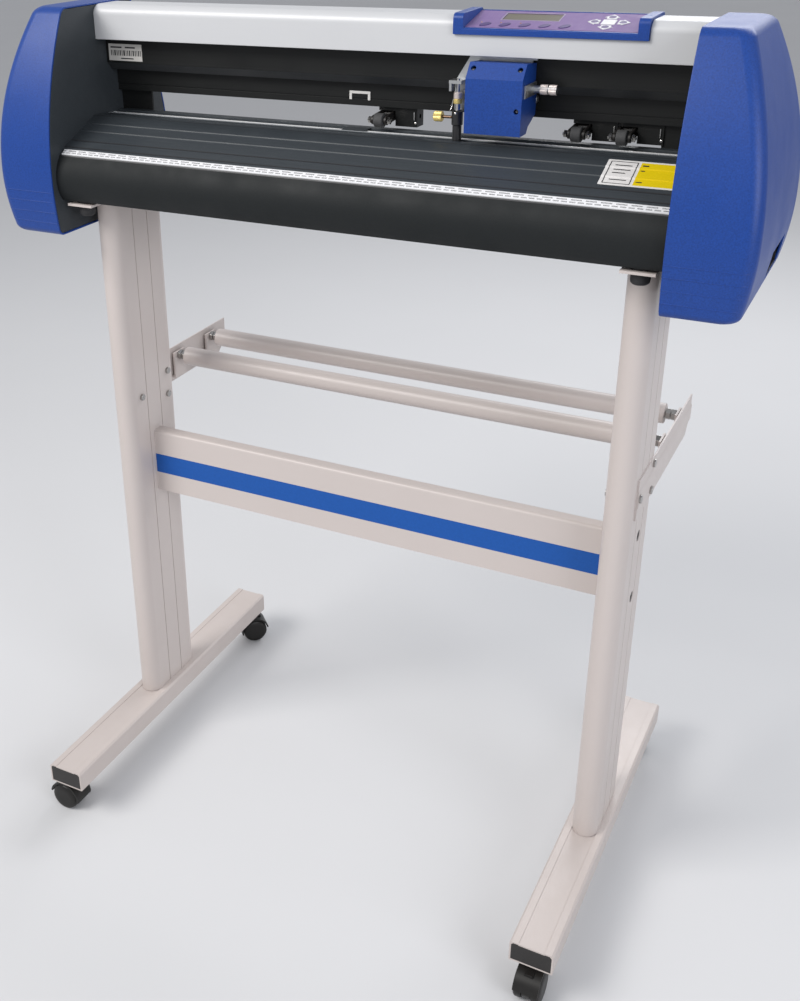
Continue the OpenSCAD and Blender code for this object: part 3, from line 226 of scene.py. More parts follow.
def keypad_film():
    """Purple membrane with a faint woven print of slanting dashes and a satin skin."""
    base, print_ink = (0.185, 0.115, 0.285), (0.225, 0.155, 0.335)
    s = Shader("keypad_film", base, 0.55, specular=0.25)
    x, y = s.axis("X"), s.axis("Y")
    slant = s.math("ADD", s.math("DIVIDE", x, 0.0016), s.math("DIVIDE", y, 0.0032))
    dash = s.math("LESS_THAN", s.math("FRACT", slant), 0.45)
    rows = s.math("LESS_THAN", s.math("FRACT", s.math("DIVIDE", y, 0.0031)), 0.62)
    words = s.math("LESS_THAN", s.math("FRACT", s.math("DIVIDE", x, 0.021)), 0.82)
    mark = s.math("MULTIPLY", s.math("MULTIPLY", dash, rows), words)
    worn = s.level(s.noise(60.0), 0.3, 0.7, 0.35, 0.9)
    s.color(s.blend(s.math("MULTIPLY", mark, worn), base, print_ink))
    s.roughness(s.level(s.noise(90.0), 0.3, 0.7, 0.5, 0.62))
    s.bump(s.noise(2600.0, 2.0), 0.00002)
    return s.material


def display_glass():
    """Unlit display: olive-grey with a faint dot grid under clear plastic."""
    base = (0.120, 0.108, 0.078)
    s = Shader("display_glass", base, 0.50, specular=0.25)
    x, y = s.axis("X"), s.axis("Y")
    grid = s.math("MAXIMUM", s.math("LESS_THAN", s.math("FRACT", s.math("DIVIDE", x, 0.0032)), 0.16),
                  s.math("LESS_THAN", s.math("FRACT", s.math("DIVIDE", y, 0.0052)), 0.12))
    s.color(s.blend(s.math("MULTIPLY", grid, 0.5), base, (0.090, 0.082, 0.060)))
    return s.material


def stage_floor():
    s = Shader("stage_floor", (0.62, 0.62, 0.63), 0.75, specular=0.2)
    s.color(s.blend(s.noise(1.3, 3.0), (0.60, 0.60, 0.61), (0.64, 0.64, 0.65)))
    return s.material


BLUE = (0.009, 0.049, 0.255)
WHITE = (0.565, 0.505, 0.48)
CHARCOAL = (0.034, 0.041, 0.048)
BLACK = (0.019, 0.017, 0.016)

looks = {
    "white_paint": powder_coat("white_paint", WHITE),
    "cover_white": powder_coat("cover_white", (0.57, 0.575, 0.59), 0.32, 700.0),
    "blue_plastic": plastic("blue_plastic", BLUE, 0.40, 620.0, 0.00008, 0.16, 0.36),
    "dark_coated": coated_sheet("dark_coated", CHARCOAL),
    "apron_coated": coated_sheet("apron_coated", (0.011, 0.013, 0.014), 0.60, 0.02, 0.24),
    "plate_coated": coated_sheet("plate_coated", (0.030, 0.036, 0.042), 0.55, 0.02),
    "rail_coated": coated_sheet("rail_coated", (0.009, 0.0095, 0.0095), 0.42, 0.12, 0.3),
    "black_plastic": plastic("black_plastic", BLACK, 0.45, 900.0, 0.00006, 0.2),
    "caster_black": plastic("caster_black", (0.012, 0.011, 0.010), 0.38, 700.0, 0.00003, 0.2, 0.35),
    "black_rubber": rubber("black_rubber"),
    "wheel_rubber": rubber("wheel_rubber", (0.07, 0.07, 0.072)),
    "stripe_blue": plastic("stripe_blue", (0.012, 0.088, 0.36), 0.45, 300.0, 0.00001, 0.05, 0.2),
    "zinc": metal("zinc", (0.44, 0.425, 0.41), 0.30),
    "shaft": shaft_steel(),
    "chrome": metal("chrome", (0.80, 0.78, 0.76), 0.14, None, 0.00001),
    "brass": metal("brass", (0.84, 0.66, 0.24), 0.38, "X", metallic=0.55),
    "grey_plate": metal("grey_plate", (0.52, 0.53, 0.54), 0.42, "X"),
    "dark_metal": metal("dark_metal", (0.10, 0.10, 0.11), 0.40),
    "ruler": ruler_film(),
    "keypad": keypad_film(),
    "display": display_glass(),
    "key_violet": plastic("key_violet", (0.060, 0.032, 0.150), 0.45, 500.0, 0.00001, 0.1, 0.3),
    "key_white": plastic("key_white", (0.64, 0.64, 0.67), 0.45, 500.0, 0.00001, 0.04, 0.3),
    "print_silver": plastic("print_silver", (0.27, 0.23, 0.33), 0.50, 500.0, 0.00001, 0.05),
    "lamp_dim": plastic("lamp_dim", (0.42, 0.22, 0.10), 0.15, 500.0, 0.00001, 0.1, coat=0.8),
    "label_paper": plastic("label_paper", (0.60, 0.58, 0.55), 0.55, 800.0, 0.00001, 0.05),
    "label_white": plastic("label_white", (0.80, 0.78, 0.77), 0.40, 800.0, 0.00001, 0.04),
    "label_yellow": plastic("label_yellow", (0.80, 0.60, 0.004), 0.50, 800.0, 0.00001, 0.05, 0.2),
    # black of the printed marks, also used for the painted shade in the slope's grooves and under the
    # ruler
    "ink_and_painted_shade": plastic("ink_and_painted_shade", (0.025, 0.025, 0.028), 0.50, 800.0, 0.00001, 0.1),
    "circuit": plastic("circuit", (0.02, 0.12, 0.05), 0.40, 200.0, 0.00005, 0.3),
    "rocker": plastic("rocker", (0.30, 0.015, 0.015), 0.25, 400.0, 0.00001, 0.1, coat=0.4),
    "clip_white": plastic("clip_white", (0.70, 0.68, 0.66), 0.40, 500.0, 0.00002, 0.05),
    "rail_light": coated_sheet("rail_light", (0.030, 0.032, 0.035), 0.40, 0.12, 0.4),
    "pale_edge_grey": plastic("pale_edge_grey", (0.38, 0.40, 0.42), 0.45, 900.0, 0.00001, 0.12),
    "pen_black": plastic("pen_black", (0.020, 0.020, 0.022), 0.32, 900.0, 0.00002, 0.15, coat=0.3),
    "nickel": metal("nickel", (0.84, 0.74, 0.70), 0.32, metallic=0.6),
    "bronze": metal("bronze", (0.20, 0.13, 0.09), 0.38, "X"),
}


# ---- building pieces ----


def place(x, y, z, hand=1):
    """Point in the cutter's millimetres; hand is -1 for the mirrored side."""
    return Vector((hand * x * MM, y * MM, DECK + z * MM))


def add_piece(name, mesh, look, body="frame"):
    piece = bpy.data.objects.new(name, mesh)
    bpy.context.scene.collection.objects.link(piece)
    mesh.materials.clear()
    mesh.materials.append(looks[look])
    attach(piece, body)
    return piece


def shade(mesh, angle=38.0):
    for polygon in mesh.polygons:
        polygon.use_smooth = True
    mesh.set_sharp_from_angle(angle=math.radians(angle))


def from_bmesh(bm, name, angle=38.0):
    bmesh.ops.recalc_face_normals(bm, faces=bm.faces)
    mesh = bpy.data.meshes.new(name)
    bm.to_mesh(mesh)
    bm.free()
    shade(mesh, angle)
    return mesh


def round_edges(bm, offset, limit=30.0, segments=2):
    """Rounds every edge that turns by more than limit degrees, if there is an offset."""
    least = math.radians(limit)
    sharp = [e for e in bm.edges if e.is_manifold and e.calc_face_angle(0.0) > least]
    if sharp and offset:
        bmesh.ops.bevel(bm, geom=sharp, offset=offset, segments=segments, profile=0.5,
                        affect="EDGES", clamp_overlap=True)


def flat_weighted(piece):
    modifier = piece.modifiers.new("even_shading", "WEIGHTED_NORMAL")
    modifier.keep_sharp = True
    return piece


def refine(node, look, edge, body="frame", segments=2):
    """The CAD node with its edges rounded as the real piece's are; it stands for the node."""
    bm = bmesh.new()
    bm.from_mesh(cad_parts[node].data)
    bmesh.ops.remove_doubles(bm, verts=bm.verts, dist=0.00001)
    bmesh.ops.dissolve_limit(bm, angle_limit=math.radians(0.4), verts=bm.verts, edges=bm.edges)
    round_edges(bm, edge * MM, 30.0, segments)
    mesh = from_bmesh(bm, node + "_finished")
    for name in [a.name for a in mesh.attributes if a.name == "custom_normal"]:
        mesh.attributes.remove(mesh.attributes[name])
    piece = flat_weighted(add_piece(node + "_finished", mesh, look, body))
    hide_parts(node)
    return piece


def lathe(bm, profile, origin, axis, steps=32, flutes=0, depth=0.0):
    """Turned shape: profile is (distance along the axis, radius) pairs, from origin along axis."""
    axis = Vector(axis).normalized()
    side = axis.orthogonal().normalized()
    other = axis.cross(side)
    rings = []
    for along, radius in profile:
        centre = Vector(origin) + axis * along
        if radius <= 0:
            rings.append([bm.verts.new(centre)])
            continue
        ring = []
        for i in range(steps):
            turn = math.tau * i / steps
            out = radius - depth * (0.5 - 0.5 * math.cos(flutes * turn))
            ring.append(bm.verts.new(centre + (side * math.cos(turn) + other * math.sin(turn)) * out))
        rings.append(ring)
    for a, b in zip(rings, rings[1:]):
        for i in range(steps):
            j = (i + 1) % steps
            corners = [a[i % len(a)], a[j % len(a)], b[j % len(b)], b[i % len(b)]]
            faces = list(dict.fromkeys(corners))
            if len(faces) > 2:
                bm.faces.new(faces)


def block(bm, low, high, turn=None):
    """A box from its low to its high corner, turned by a matrix if one is given."""
    made = bmesh.ops.create_cube(bm, size=1.0)["verts"]
    low, high = Vector(low), Vector(high)
    size = high - low
    for v in made:
        v.co = Vector((v.co.x * size.x, v.co.y * size.y, v.co.z * size.z)) + (low + high) / 2
        if turn is not None:
            v.co = turn @ v.co
    return made


def extrude_outline(bm, outline, thickness, turn):
    """A flat outline in its own plane, given a thickness and placed by a matrix."""
    lower = [bm.verts.new(turn @ Vector((x, y, 0))) for x, y in outline]
    upper = [bm.verts.new(turn @ Vector((x, y, thickness))) for x, y in outline]
    bm.faces.new(lower[::-1])
    bm.faces.new(upper)
    for i in range(len(outline)):
        j = (i + 1) % len(outline)
        bm.faces.new([lower[i], lower[j], upper[j], upper[i]])


def applied(piece):
    """The piece with its modifiers made part of its mesh."""
    graph = bpy.context.evaluated_depsgraph_get()
    mesh = bpy.data.meshes.new_from_object(piece.evaluated_get(graph))
    piece.modifiers.clear()
    piece.data = mesh
    return piece


# ---- end caps ----

CAP = dict(bottom=-37.0, top=227.0, reach=450.0, wide_z=42.0, bulge_up=0.00112, bulge_down=0.0017,
           front=-109.5, front_z=30.0, front_bulge=0.00133, rear=146.5, rear_z=25.0, rear_bulge=0.0016,
           edge=8.0, corner=14.0, wall=2.5)
RIDGE_HEIGHTS = (17.6, 5.6, -7.6, -20.9)


def cap_draw_in(z):
    """How far the rounded top or bottom edge draws the outline in."""
    depth = min(CAP["top"] - z, z - CAP["bottom"])
    if depth >= CAP["edge"]:
        return 0.0
    return CAP["edge"] - math.sqrt(max(0.0, CAP["edge"] ** 2 - (CAP["edge"] - depth) ** 2))


def cap_out(z):
    bulge = CAP["bulge_up"] if z > CAP["wide_z"] else CAP["bulge_down"]
    return CAP["reach"] - bulge * (z - CAP["wide_z"]) ** 2 - cap_draw_in(z)


def cap_fore(z):
    return CAP["front"] + CAP["front_bulge"] * (z - CAP["front_z"]) ** 2 + cap_draw_in(z)


def cap_aft(z):
    return CAP["rear"] - CAP["rear_bulge"] * (z - CAP["rear_z"]) ** 2 - cap_draw_in(z)


def cap_path(z, inner, steps=8):
    """Level outline of the cap in millimetres, from its inner front corner round to the rear one."""
    r = CAP["corner"]
    x = cap_out(z) - r
    points = [(inner, cap_fore(z)), (inner + 1.0, cap_fore(z)), (inner + 20.0, cap_fore(z))]
    for i in range(steps + 1):
        a = math.radians(-90 + 90 * i / steps)
        points.append((x + r * math.cos(a), cap_fore(z) + r + r * math.sin(a)))
    for i in range(1, 6):
        points.append((x + r, cap_fore(z) + r + (cap_aft(z) - cap_fore(z) - 2 * r) * i / 6))
    for i in range(steps + 1):
        a = math.radians(90 * i / steps)
        points.append((x + r * math.cos(a), cap_aft(z) - r + r * math.sin(a)))
    return points + [(inner + 20.0, cap_aft(z)), (inner + 1.0, cap_aft(z)), (inner, cap_aft(z))]


def cap_rows():
    edge, bottom, top = CAP["edge"], CAP["bottom"], CAP["top"]
    turns = [math.radians(t) for t in (0, 12, 25, 38, 52, 66, 80)]
    low = [bottom + edge * (1 - math.cos(t)) for t in turns]
    high = [top - edge * (1 - math.cos(t)) for t in reversed(turns)]
    middle = [bottom + edge + (top - bottom - 2 * edge) * i / 26 for i in range(27)]
    return low + middle + high


def make_cap(hand, node):
    """One end cap: a shell open on its inner side, with a rounded rim."""
    inner = INNER / MM
    bm = bmesh.new()
    rings = [[bm.verts.new(place(x, y, z, hand)) for x, y in cap_path(z, inner)] for z in cap_rows()]
    for a, b in zip(rings, rings[1:]):
        for i in range(len(a) - 1):
            bm.faces.new([a[i], a[i + 1], b[i + 1], b[i]])
    bm.faces.new(rings[0])
    bm.faces.new(rings[-1])
    mesh = from_bmesh(bm, node + "_shell")
    piece = add_piece(node + "_shell", mesh, "blue_plastic")
    shell = piece.modifiers.new("wall", "SOLIDIFY")
    shell.thickness = CAP["wall"] * MM
    shell.offset = -1
    shell.use_even_offset = True
    applied(piece)
    if hand > 0:
        w = dict(y0=22.0, y1=104.0, z0=-26.0, z1=4.0)
        cutter_bm = bmesh.new()
        block(cutter_bm, place(433, w["y0"], w["z0"]), place(462, w["y1"], w["z1"]))
        cutter = bpy.data.objects.new("window_cutter", from_bmesh(cutter_bm, "window_cutter"))
        bpy.context.scene.collection.objects.link(cutter)
        cut = piece.modifiers.new("window", "BOOLEAN")
        cut.object = cutter
        cut.solver = "EXACT"
        bpy.context.view_layer.update()
        applied(piece)
        bpy.data.objects.remove(cutter)
    bm = bmesh.new()
    bm.from_mesh(piece.data)
    round_edges(bm, 0.7 * MM, 60.0, 3)
    piece.data = from_bmesh(bm, node + "_shell")
    piece.data.materials.append(looks["blue_plastic"])
    flat_weighted(piece)
    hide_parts(node)
    return piece


def make_ridges(hand, name):
    """Four thin moulded beads across the lower front of a cap, fading out round the corner."""
    bm = bmesh.new()
    for z in RIDGE_HEIGHTS:
        path = cap_path(z, INNER / MM)[2:9]
        path = [(INNER / MM + 1.5, path[0][1])] + path
        rings = []
        for i, (x, y) in enumerate(path):
            a, b = path[max(0, i - 1)], path[min(len(path) - 1, i + 1)]
            along = Vector((b[0] - a[0], b[1] - a[1])).normalized()
            out = Vector((along.y, -along.x))
            fade = min(1.0, (len(path) - 1 - i) / 3)
            ring = []
            for k in range(7):
                t = math.pi * k / 6
                lift, rise = math.sin(t) * 0.55 * fade - 0.15, math.cos(t) * 0.62
                ring.append(bm.verts.new(place(x + out.x * lift, y + out.y * lift, z + rise, hand)))
            rings.append(ring)
        for a, b in zip(rings, rings[1:]):
            for k in range(6):
                bm.faces.new([a[k], a[k + 1], b[k + 1], b[k]])
        bm.faces.new(rings[0])
        bm.faces.new(rings[-1])
        for a, b in zip(rings, rings[1:]):
            bm.faces.new([a[6], a[0], b[0], b[6]])
    return add_piece(name, from_bmesh(bm, name, 60.0), "blue_plastic")


make_cap(-1, "left_end_cap")
make_cap(1, "right_end_cap")
make_ridges(-1, "left_cap_ridges")
make_ridges(1, "right_cap_ridges")


# ---- CAD nodes with rounded edges ----

for node, look, edge in (
    ("foot_bars", "white_paint", 0.8), ("foot_end_caps", "black_plastic", 1.0),
    ("uprights", "white_paint", 0.4), ("stretcher_bar", "white_paint", 0.6),
    ("stretcher_stripe", "stripe_blue", 0.1), ("stand_bolts", "zinc", 0.5),
    ("mount_plates", "white_paint", 0.5), ("rubber_mounts", "black_rubber", 0.8),
    ("roll_brackets", "white_paint", 0.5), ("side_plates", "plate_coated", 0.4),
    ("platen", "dark_coated", 0.35), ("front_apron", "apron_coated", 0.5),
    ("ruler_strip", "ruler", 0.2), ("rail_beam", "rail_coated", 0.5),
    ("top_cover", "cover_white", 0.7), ("rear_cover", "dark_coated", 0.8),
    ("panel_bezel", "blue_plastic", 0.9), ("keypad", "keypad", 0.25),
    ("lcd_window", "display", 0.25), ("motors", "dark_metal", 1.2),
    ("control_board", "circuit", 0.3), ("power_inlet", "black_plastic", 0.4),
    ("drive_belts", "black_rubber", 0.2),
):
    refine(node, look, edge)

refine("front_roller", "white_paint", 0.8, "front_roll")
refine("rear_roller", "white_paint", 0.8, "rear_roll")
for i in range(1, 5):
    refine(f"caster_fork_{i}", "caster_black", 0.9, f"caster_{i}")
    refine(f"caster_wheels_{i}", "caster_black", 0.6, f"caster_wheel_pair_{i}")
refine("grit_shaft", "shaft", 0.4, "feed_shaft")
refine("feed_motor_pulley", "brass", 0.3, "feed_pinion")
refine("x_motor_pulley", "brass", 0.3, "belt_drive_pulley")
refine("x_idler_pulley", "zinc", 0.3, "belt_idler_pulley")
refine("carriage_plate", "grey_plate", 0.4, "carriage")
refine("carriage_cover", "blue_plastic", 1.3, "carriage", 3)
for i in range(1, 4):
    refine(f"pinch_arm_{i}", "black_plastic", 0.5, f"pinch_lever_{i}")
    refine(f"pinch_wheel_{i}", "wheel_rubber", 0.5, f"pinch_roll_{i}")
for i in range(1, 6):
    refine(f"oval_key_{i}", "key_violet", 0.5, f"oval_key_{i}_cap", 3)
for key in ("arrow_key_up", "arrow_key_down", "arrow_key_left", "arrow_key_right", "move_key"):
    refine(key, "key_white", 0.35, key + "_cap")
refine("rocker_switch", "rocker", 0.8, "rocker", 3)


# ---- details beyond the CAD ----

PANEL = Matrix.Translation(place(115.2, 2.2, 211)) @ Matrix.Rotation(math.radians(13.2), 4, "X")
KEYPAD = (181.5, 54.0)                  # length of the keypad, and depth of the panel up its slope
SLOPE = Matrix.Translation(place(0, -13, 96)) @ Matrix.Rotation(math.radians(22.8), 4, "X")
SLOPE_RUN = 74.85                       # length of the platen's slope
RIB = dict(places=(0.25, 0.47), reach=1.2, rise=0.9)
# places of the slope's two sunk grooves, and half the width of the painted shade laid in them
SUNK_LINES = dict(places=(0.75, 0.94), half=0.8)
THROAT_HALF = 365.5                     # details along the throat end here, short of the side plates
STRETCHER_DROP = 425                    # from the top of the uprights down to the stretcher's lower edge
PINCH_PLACES = (8, 236, 284)
PINCH_AXIS = (27.14, 106.5)             # y and z of a pinch wheel's axis
PINCH_PIVOT = (55, 109)                 # y and z of a pinch lever's pivot
PEN = (109, 8)                          # x and y of the pen's axis


def turned(name, profile, origin, axis, look, body="frame", steps=32, flutes=0, depth=0.0):
    """Turned piece, in the cutter's millimetres, with fluting of a depth if flutes are given."""
    bm = bmesh.new()
    rows = [(along * MM, radius * MM) for along, radius in profile]
    lathe(bm, rows, place(*origin), axis, steps, flutes, depth * MM)
    return flat_weighted(add_piece(name, from_bmesh(bm, name), look, body))


def boxes(name, corners, look, body="frame", turn=None, edge=0.0):
    """Piece made of boxes, each from its low to its high corner, in the frame of turn."""
    bm = bmesh.new()
    for low, high in corners:
        if turn is None:
            block(bm, place(*low), place(*high))
        else:
            block(bm, Vector(low) * MM, Vector(high) * MM, turn)
    round_edges(bm, edge * MM)
    return flat_weighted(add_piece(name, from_bmesh(bm, name), look, body))


def prism(name, outline, x0, x1, look, edge=0.0):
    """Piece with one (y, z) outline all the way from x0 to x1."""
    bm = bmesh.new()
    turn = Matrix(((0, 0, 1, x0 * MM), (1, 0, 0, 0), (0, 1, 0, DECK), (0, 0, 0, 1)))
    extrude_outline(bm, [(y * MM, z * MM) for y, z in outline], (x1 - x0) * MM, turn)
    round_edges(bm, edge * MM)
    return flat_weighted(add_piece(name, from_bmesh(bm, name), look))


def wire(name, path, radius, look, body="frame", steps=10):
    """Round wire along a path of points."""
    points = [place(*p) for p in path]
    side = (points[1] - points[0]).orthogonal().normalized()
    bm = bmesh.new()
    rings = []
    for i, point in enumerate(points):
        along = (points[min(len(points) - 1, i + 1)] - points[max(0, i - 1)]).normalized()
        side = (side - along * side.dot(along)).normalized()
        other = along.cross(side)
        turns = [math.tau * k / steps for k in range(steps)]
        rings.append([bm.verts.new(point + (side * math.cos(t) + other * math.sin(t)) * radius * MM)
                      for t in turns])
    for a, b in zip(rings, rings[1:]):
        for k in range(steps):
            bm.faces.new([a[k], a[(k + 1) % steps], b[(k + 1) % steps], b[k]])
    bm.faces.new(rings[0])
    bm.faces.new(rings[-1])
    return add_piece(name, from_bmesh(bm, name, 50.0), look, body)


def rib_rise(s):
    """Height of the platen's slope above its plane, at a distance down it."""
    gap = min(abs(s - f * SLOPE_RUN) for f in RIB["places"])
    return max(0.0, min(RIB["rise"], (RIB["reach"] - gap) * 1.5))


def slope_film(name, x0, x1, s0, s1, look, lift, corner=0.0):
    """Thin film on the platen's slope, between two distances down it, laid over the ribs."""
    knots = {s0, s1} | {s0 + corner * t for t in (0.1, 0.4, 1)} | {s1 - corner * t for t in (0.1, 0.4, 1)}
    for f in RIB["places"]:
        knots |= {f * SLOPE_RUN + d * RIB["reach"] for d in (-1, -0.5, 0.5, 1)}
    bm = bmesh.new()
    rows = []
    for s in sorted(k for k in knots if s0 <= k <= s1):
        near = min(s - s0, s1 - s, corner)
        inset = corner - math.sqrt(max(0.0, corner ** 2 - (corner - near) ** 2))
        low = rib_rise(s) + lift
        ring = ((x0 + inset, low), (x1 - inset, low), (x1 - inset, low + 0.12), (x0 + inset, low + 0.12))
        rows.append([bm.verts.new(SLOPE @ (Vector((x, -s, z)) * MM)) for x, z in ring])
    for a, b in zip(rows, rows[1:]):
        for i in range(4):
            bm.faces.new([a[i], a[(i + 1) % 4], b[(i + 1) % 4], b[i]])
    bm.faces.new(rows[0])
    bm.faces.new(rows[-1])
    return add_piece(name, from_bmesh(bm, name), look)


def screw_head(bm, at, axis, radius, rise, sunk=0.4):
    """Domed head with a round recess for the driver, added to a mesh."""
    profile = ((-0.6, radius), (rise * 0.35, radius), (rise * 0.8, radius * 0.8), (rise, radius * 0.45),
               (rise - sunk, radius * 0.3), (rise - sunk, 0))
    lathe(bm, [(a * MM, r * MM) for a, r in profile], place(*at), axis, 24)


def screws(name, places, axis, radius, rise, look="chrome", body="frame"):
    bm = bmesh.new()
    for at in places:
        screw_head(bm, at, axis, radius, rise)
    return flat_weighted(add_piece(name, from_bmesh(bm, name, 50.0), look, body))


def add_slope_label():
    """Plain caution film at the right end of the slope, without any words or figures."""
    slope_film("slope_label_white", 284, 364.6, 6.5, 49.5, "label_white", 0.12, 1.2)
    slope_film("slope_label_yellow", 318, 361.6, 9.0, 47.0, "label_yellow", 0.26)
    for i, (x0, x1, s0, s1) in enumerate((
            (287.5, 315, 9.3, 10.0), (287.5, 315, 46.0, 46.7), (287.5, 288.3, 10.0, 46.0),
            (314.2, 315, 10.0, 46.0), (293, 310, 15.0, 16.2), (293, 310, 22.5, 23.7),
            (293, 306, 28.0, 29.2), (293, 310, 39.5, 40.7), (320, 326, 13.0, 15.0),
            (320, 324, 22.0, 23.4), (320, 326, 41.0, 42.4))):
        slope_film(f"slope_label_line_{i}", x0, x1, s0, s1, "ink_and_painted_shade", 0.4)


def add_slope_lines():
    """Dark films painted as shade in the slope's two sunk grooves and in the gap under the ruler, and a
    line at the upper bend.
    """
    for i, f in enumerate(SUNK_LINES["places"]):
        s, half = f * SLOPE_RUN, SUNK_LINES["half"]
        slope_film(f"slope_groove_shade_{i}", -THROAT_HALF, THROAT_HALF, s - half, s + half, "ink_and_painted_shade", 0.02)
    # painted shadow: a thin dark film in the gap under the ruler
    prism("ruler_shadow", [(-89.95, 59.7), (-89.18, 61.0), (-88.96, 60.87), (-89.74, 59.57)], -363, 363,
          "ink_and_painted_shade")
    slope_film("slope_bend_line", -THROAT_HALF, THROAT_HALF, 0.8, 1.5, "rail_light", 0.02)


def add_rating_label():
    """Small plate under the top cover's left end, with plain bars only."""
    boxes("rating_label", [((-362, 21.8, 157.5), (-312, 22.0, 177.5))], "label_paper")
    bars = [((-359 + 22 * i, 21.75, 172.5), (-342 + 20 * i, 21.85, 174.3)) for i in range(2)]
    x = -358.5
    for width in (1.2, 0.8, 2.2, 1.2, 0.8, 1.6, 1.0, 2.4, 0.8, 1.2, 1.8, 0.8, 2.0, 1.2, 0.8, 1.6, 1.0):
        bars.append(((x, 21.75, 163.5), (x + width, 21.85, 170)))
        x += width + 1.4
    bars.append(((-344, 21.75, 159.6), (-325, 21.85, 161)))
    boxes("rating_label_bars", bars, "ink_and_painted_shade")


def add_throat_details():
    """Bands along the rail, its clip, the bridge over the slot, and the fasteners of the pinch levers."""
    light_band = [(29.85, 146.0), (21.95, 154.9), (21.8, 154.9), (29.7, 145.9)]
    prism("rail_light_band", light_band, -THROAT_HALF, THROAT_HALF, "rail_light")
    upper_strip = [(21.85, 155.0), (21.85, 157.3), (22.1, 157.3), (22.1, 155.0)]
    prism("rail_upper_strip", upper_strip, -THROAT_HALF, THROAT_HALF, "rail_coated")
    clip = [((-36.6, 39.9, 132.2), (-10.2, 41.0, 135.2))]
    for x in (-36.6, -13.2):
        clip.append(((x, 39.6, 125.4), (x + 3.0, 41, 132.2)))
    boxes("sheet_clip", clip, "clip_white", edge=0.3)
    bridge = [(18.6, 94.2), (37.4, 94.92), (37.4, 95.2), (18.6, 94.55)]
    prism("sensor_bridge", bridge, -37, -8, "plate_coated", 0.08)
    prism("sensor_slot", [(25.5, 94.6), (29.5, 94.74), (29.5, 94.9), (25.5, 94.78)], -26, -16, "ink_and_painted_shade")
    # a pale grey strip along the trough's front edge
    edge = [(14.6, 94.35), (18.4, 94.13), (18.4, 94.40), (14.6, 94.62)]
    prism("trough_edge", edge, -THROAT_HALF, THROAT_HALF, "pale_edge_grey")
    for i, x in enumerate(PINCH_PLACES, 1):
        lever = f"pinch_lever_{i}"
        nut = ((0, 0), (0, 3.6), (0.4, 4.2), (3.0, 4.2), (3.4, 3.6), (3.4, 2.2), (4.6, 2.0), (4.6, 0))
        bm = bmesh.new()
        for hand in (-1, 1):
            rows = [(along * MM, radius * MM) for along, radius in nut]
            lathe(bm, rows, place(x + hand * 10.1, *PINCH_AXIS), (hand, 0, 0), 6)
        add_piece(f"spindle_nuts_{i}", from_bmesh(bm, f"spindle_nuts_{i}", 20.0), "chrome", lever)
        turned(f"pivot_bolt_{i}", [(0, 0), (0, 3.0), (0.3, 3.5), (2.2, 3.5), (2.6, 3.0), (2.6, 0)],
               (x - 9, *PINCH_PIVOT), (-1, 0, 0), "chrome", lever, 6)
        pin = [(0, 0), (0, 0.9), (9, 0.9), (9.6, 0)]
        turned(f"block_pin_{i}", pin, (x + 34.5, 45.5, 105.5), (0, 0, 1), "chrome")
        screws(f"block_screw_{i}", [(x + 36, 46, 102)], (0, -1, 0), 1.8, 0.9)


def add_panel_details():
    """Border of the display, three lamps, the round spots on the arrow keys, and the bezel's screws."""
    length, depth = KEYPAD
    x0, x1 = 0.178 * length, 0.512 * length
    y0, y1 = 0.481 * depth, 0.856 * depth
    wide, low, high = 1.3, 1.9, 2.12
    edges = (((x0 - wide, y0 - wide), (x1 + wide, y0)), ((x0 - wide, y1), (x1 + wide, y1 + wide)),
             ((x0 - wide, y0), (x0, y1)), ((x1, y0), (x1 + wide, y1)))
    boxes("display_frame", [((*a, low), (*b, high)) for a, b in edges], "print_silver", turn=PANEL)
    up = PANEL.to_3x3() @ Vector((0, 0, 1))
    bm = bmesh.new()
    for u in (0.074, 0.191, 0.308):
        at = PANEL @ (Vector((u * length, 0.315 * depth, 0.2)) * MM)
        rows = ((0, 0.95), (1.5, 0.95), (1.9, 0.8), (2.15, 0.45), (2.25, 0))
        lathe(bm, [(a * MM, r * MM) for a, r in rows], at, up, 20)
    add_piece("indicator_lamps", from_bmesh(bm, "indicator_lamps", 60.0), "lamp_dim")
    middle = PANEL @ Matrix.Translation(Vector((0.797 * length, 0.5 * depth, 2.5)) * MM)
    for key, turn in (("up", 0), ("left", 90), ("down", 180), ("right", 270)):
        at = middle @ Matrix.Rotation(math.radians(turn), 4, "Z") @ (Vector((0, 9.4 + 5.0, 0)) * MM)
        bm = bmesh.new()
        lathe(bm, [(0, 3.8 * MM), (0.05 * MM, 3.8 * MM), (0.05 * MM, 0)], at, up, 40)
        name = f"arrow_spot_{key}"
        add_piece(name, from_bmesh(bm, name), "key_violet", f"arrow_key_{key}_cap")
    heads = [(x, y, 226.75 + 0.02 * y) for x in (109.7, 302.2) for y in (23.5, 42.9)]
    screws("bezel_screws", heads, (0, 0, 1), 2.3, 0.35, "blue_plastic")


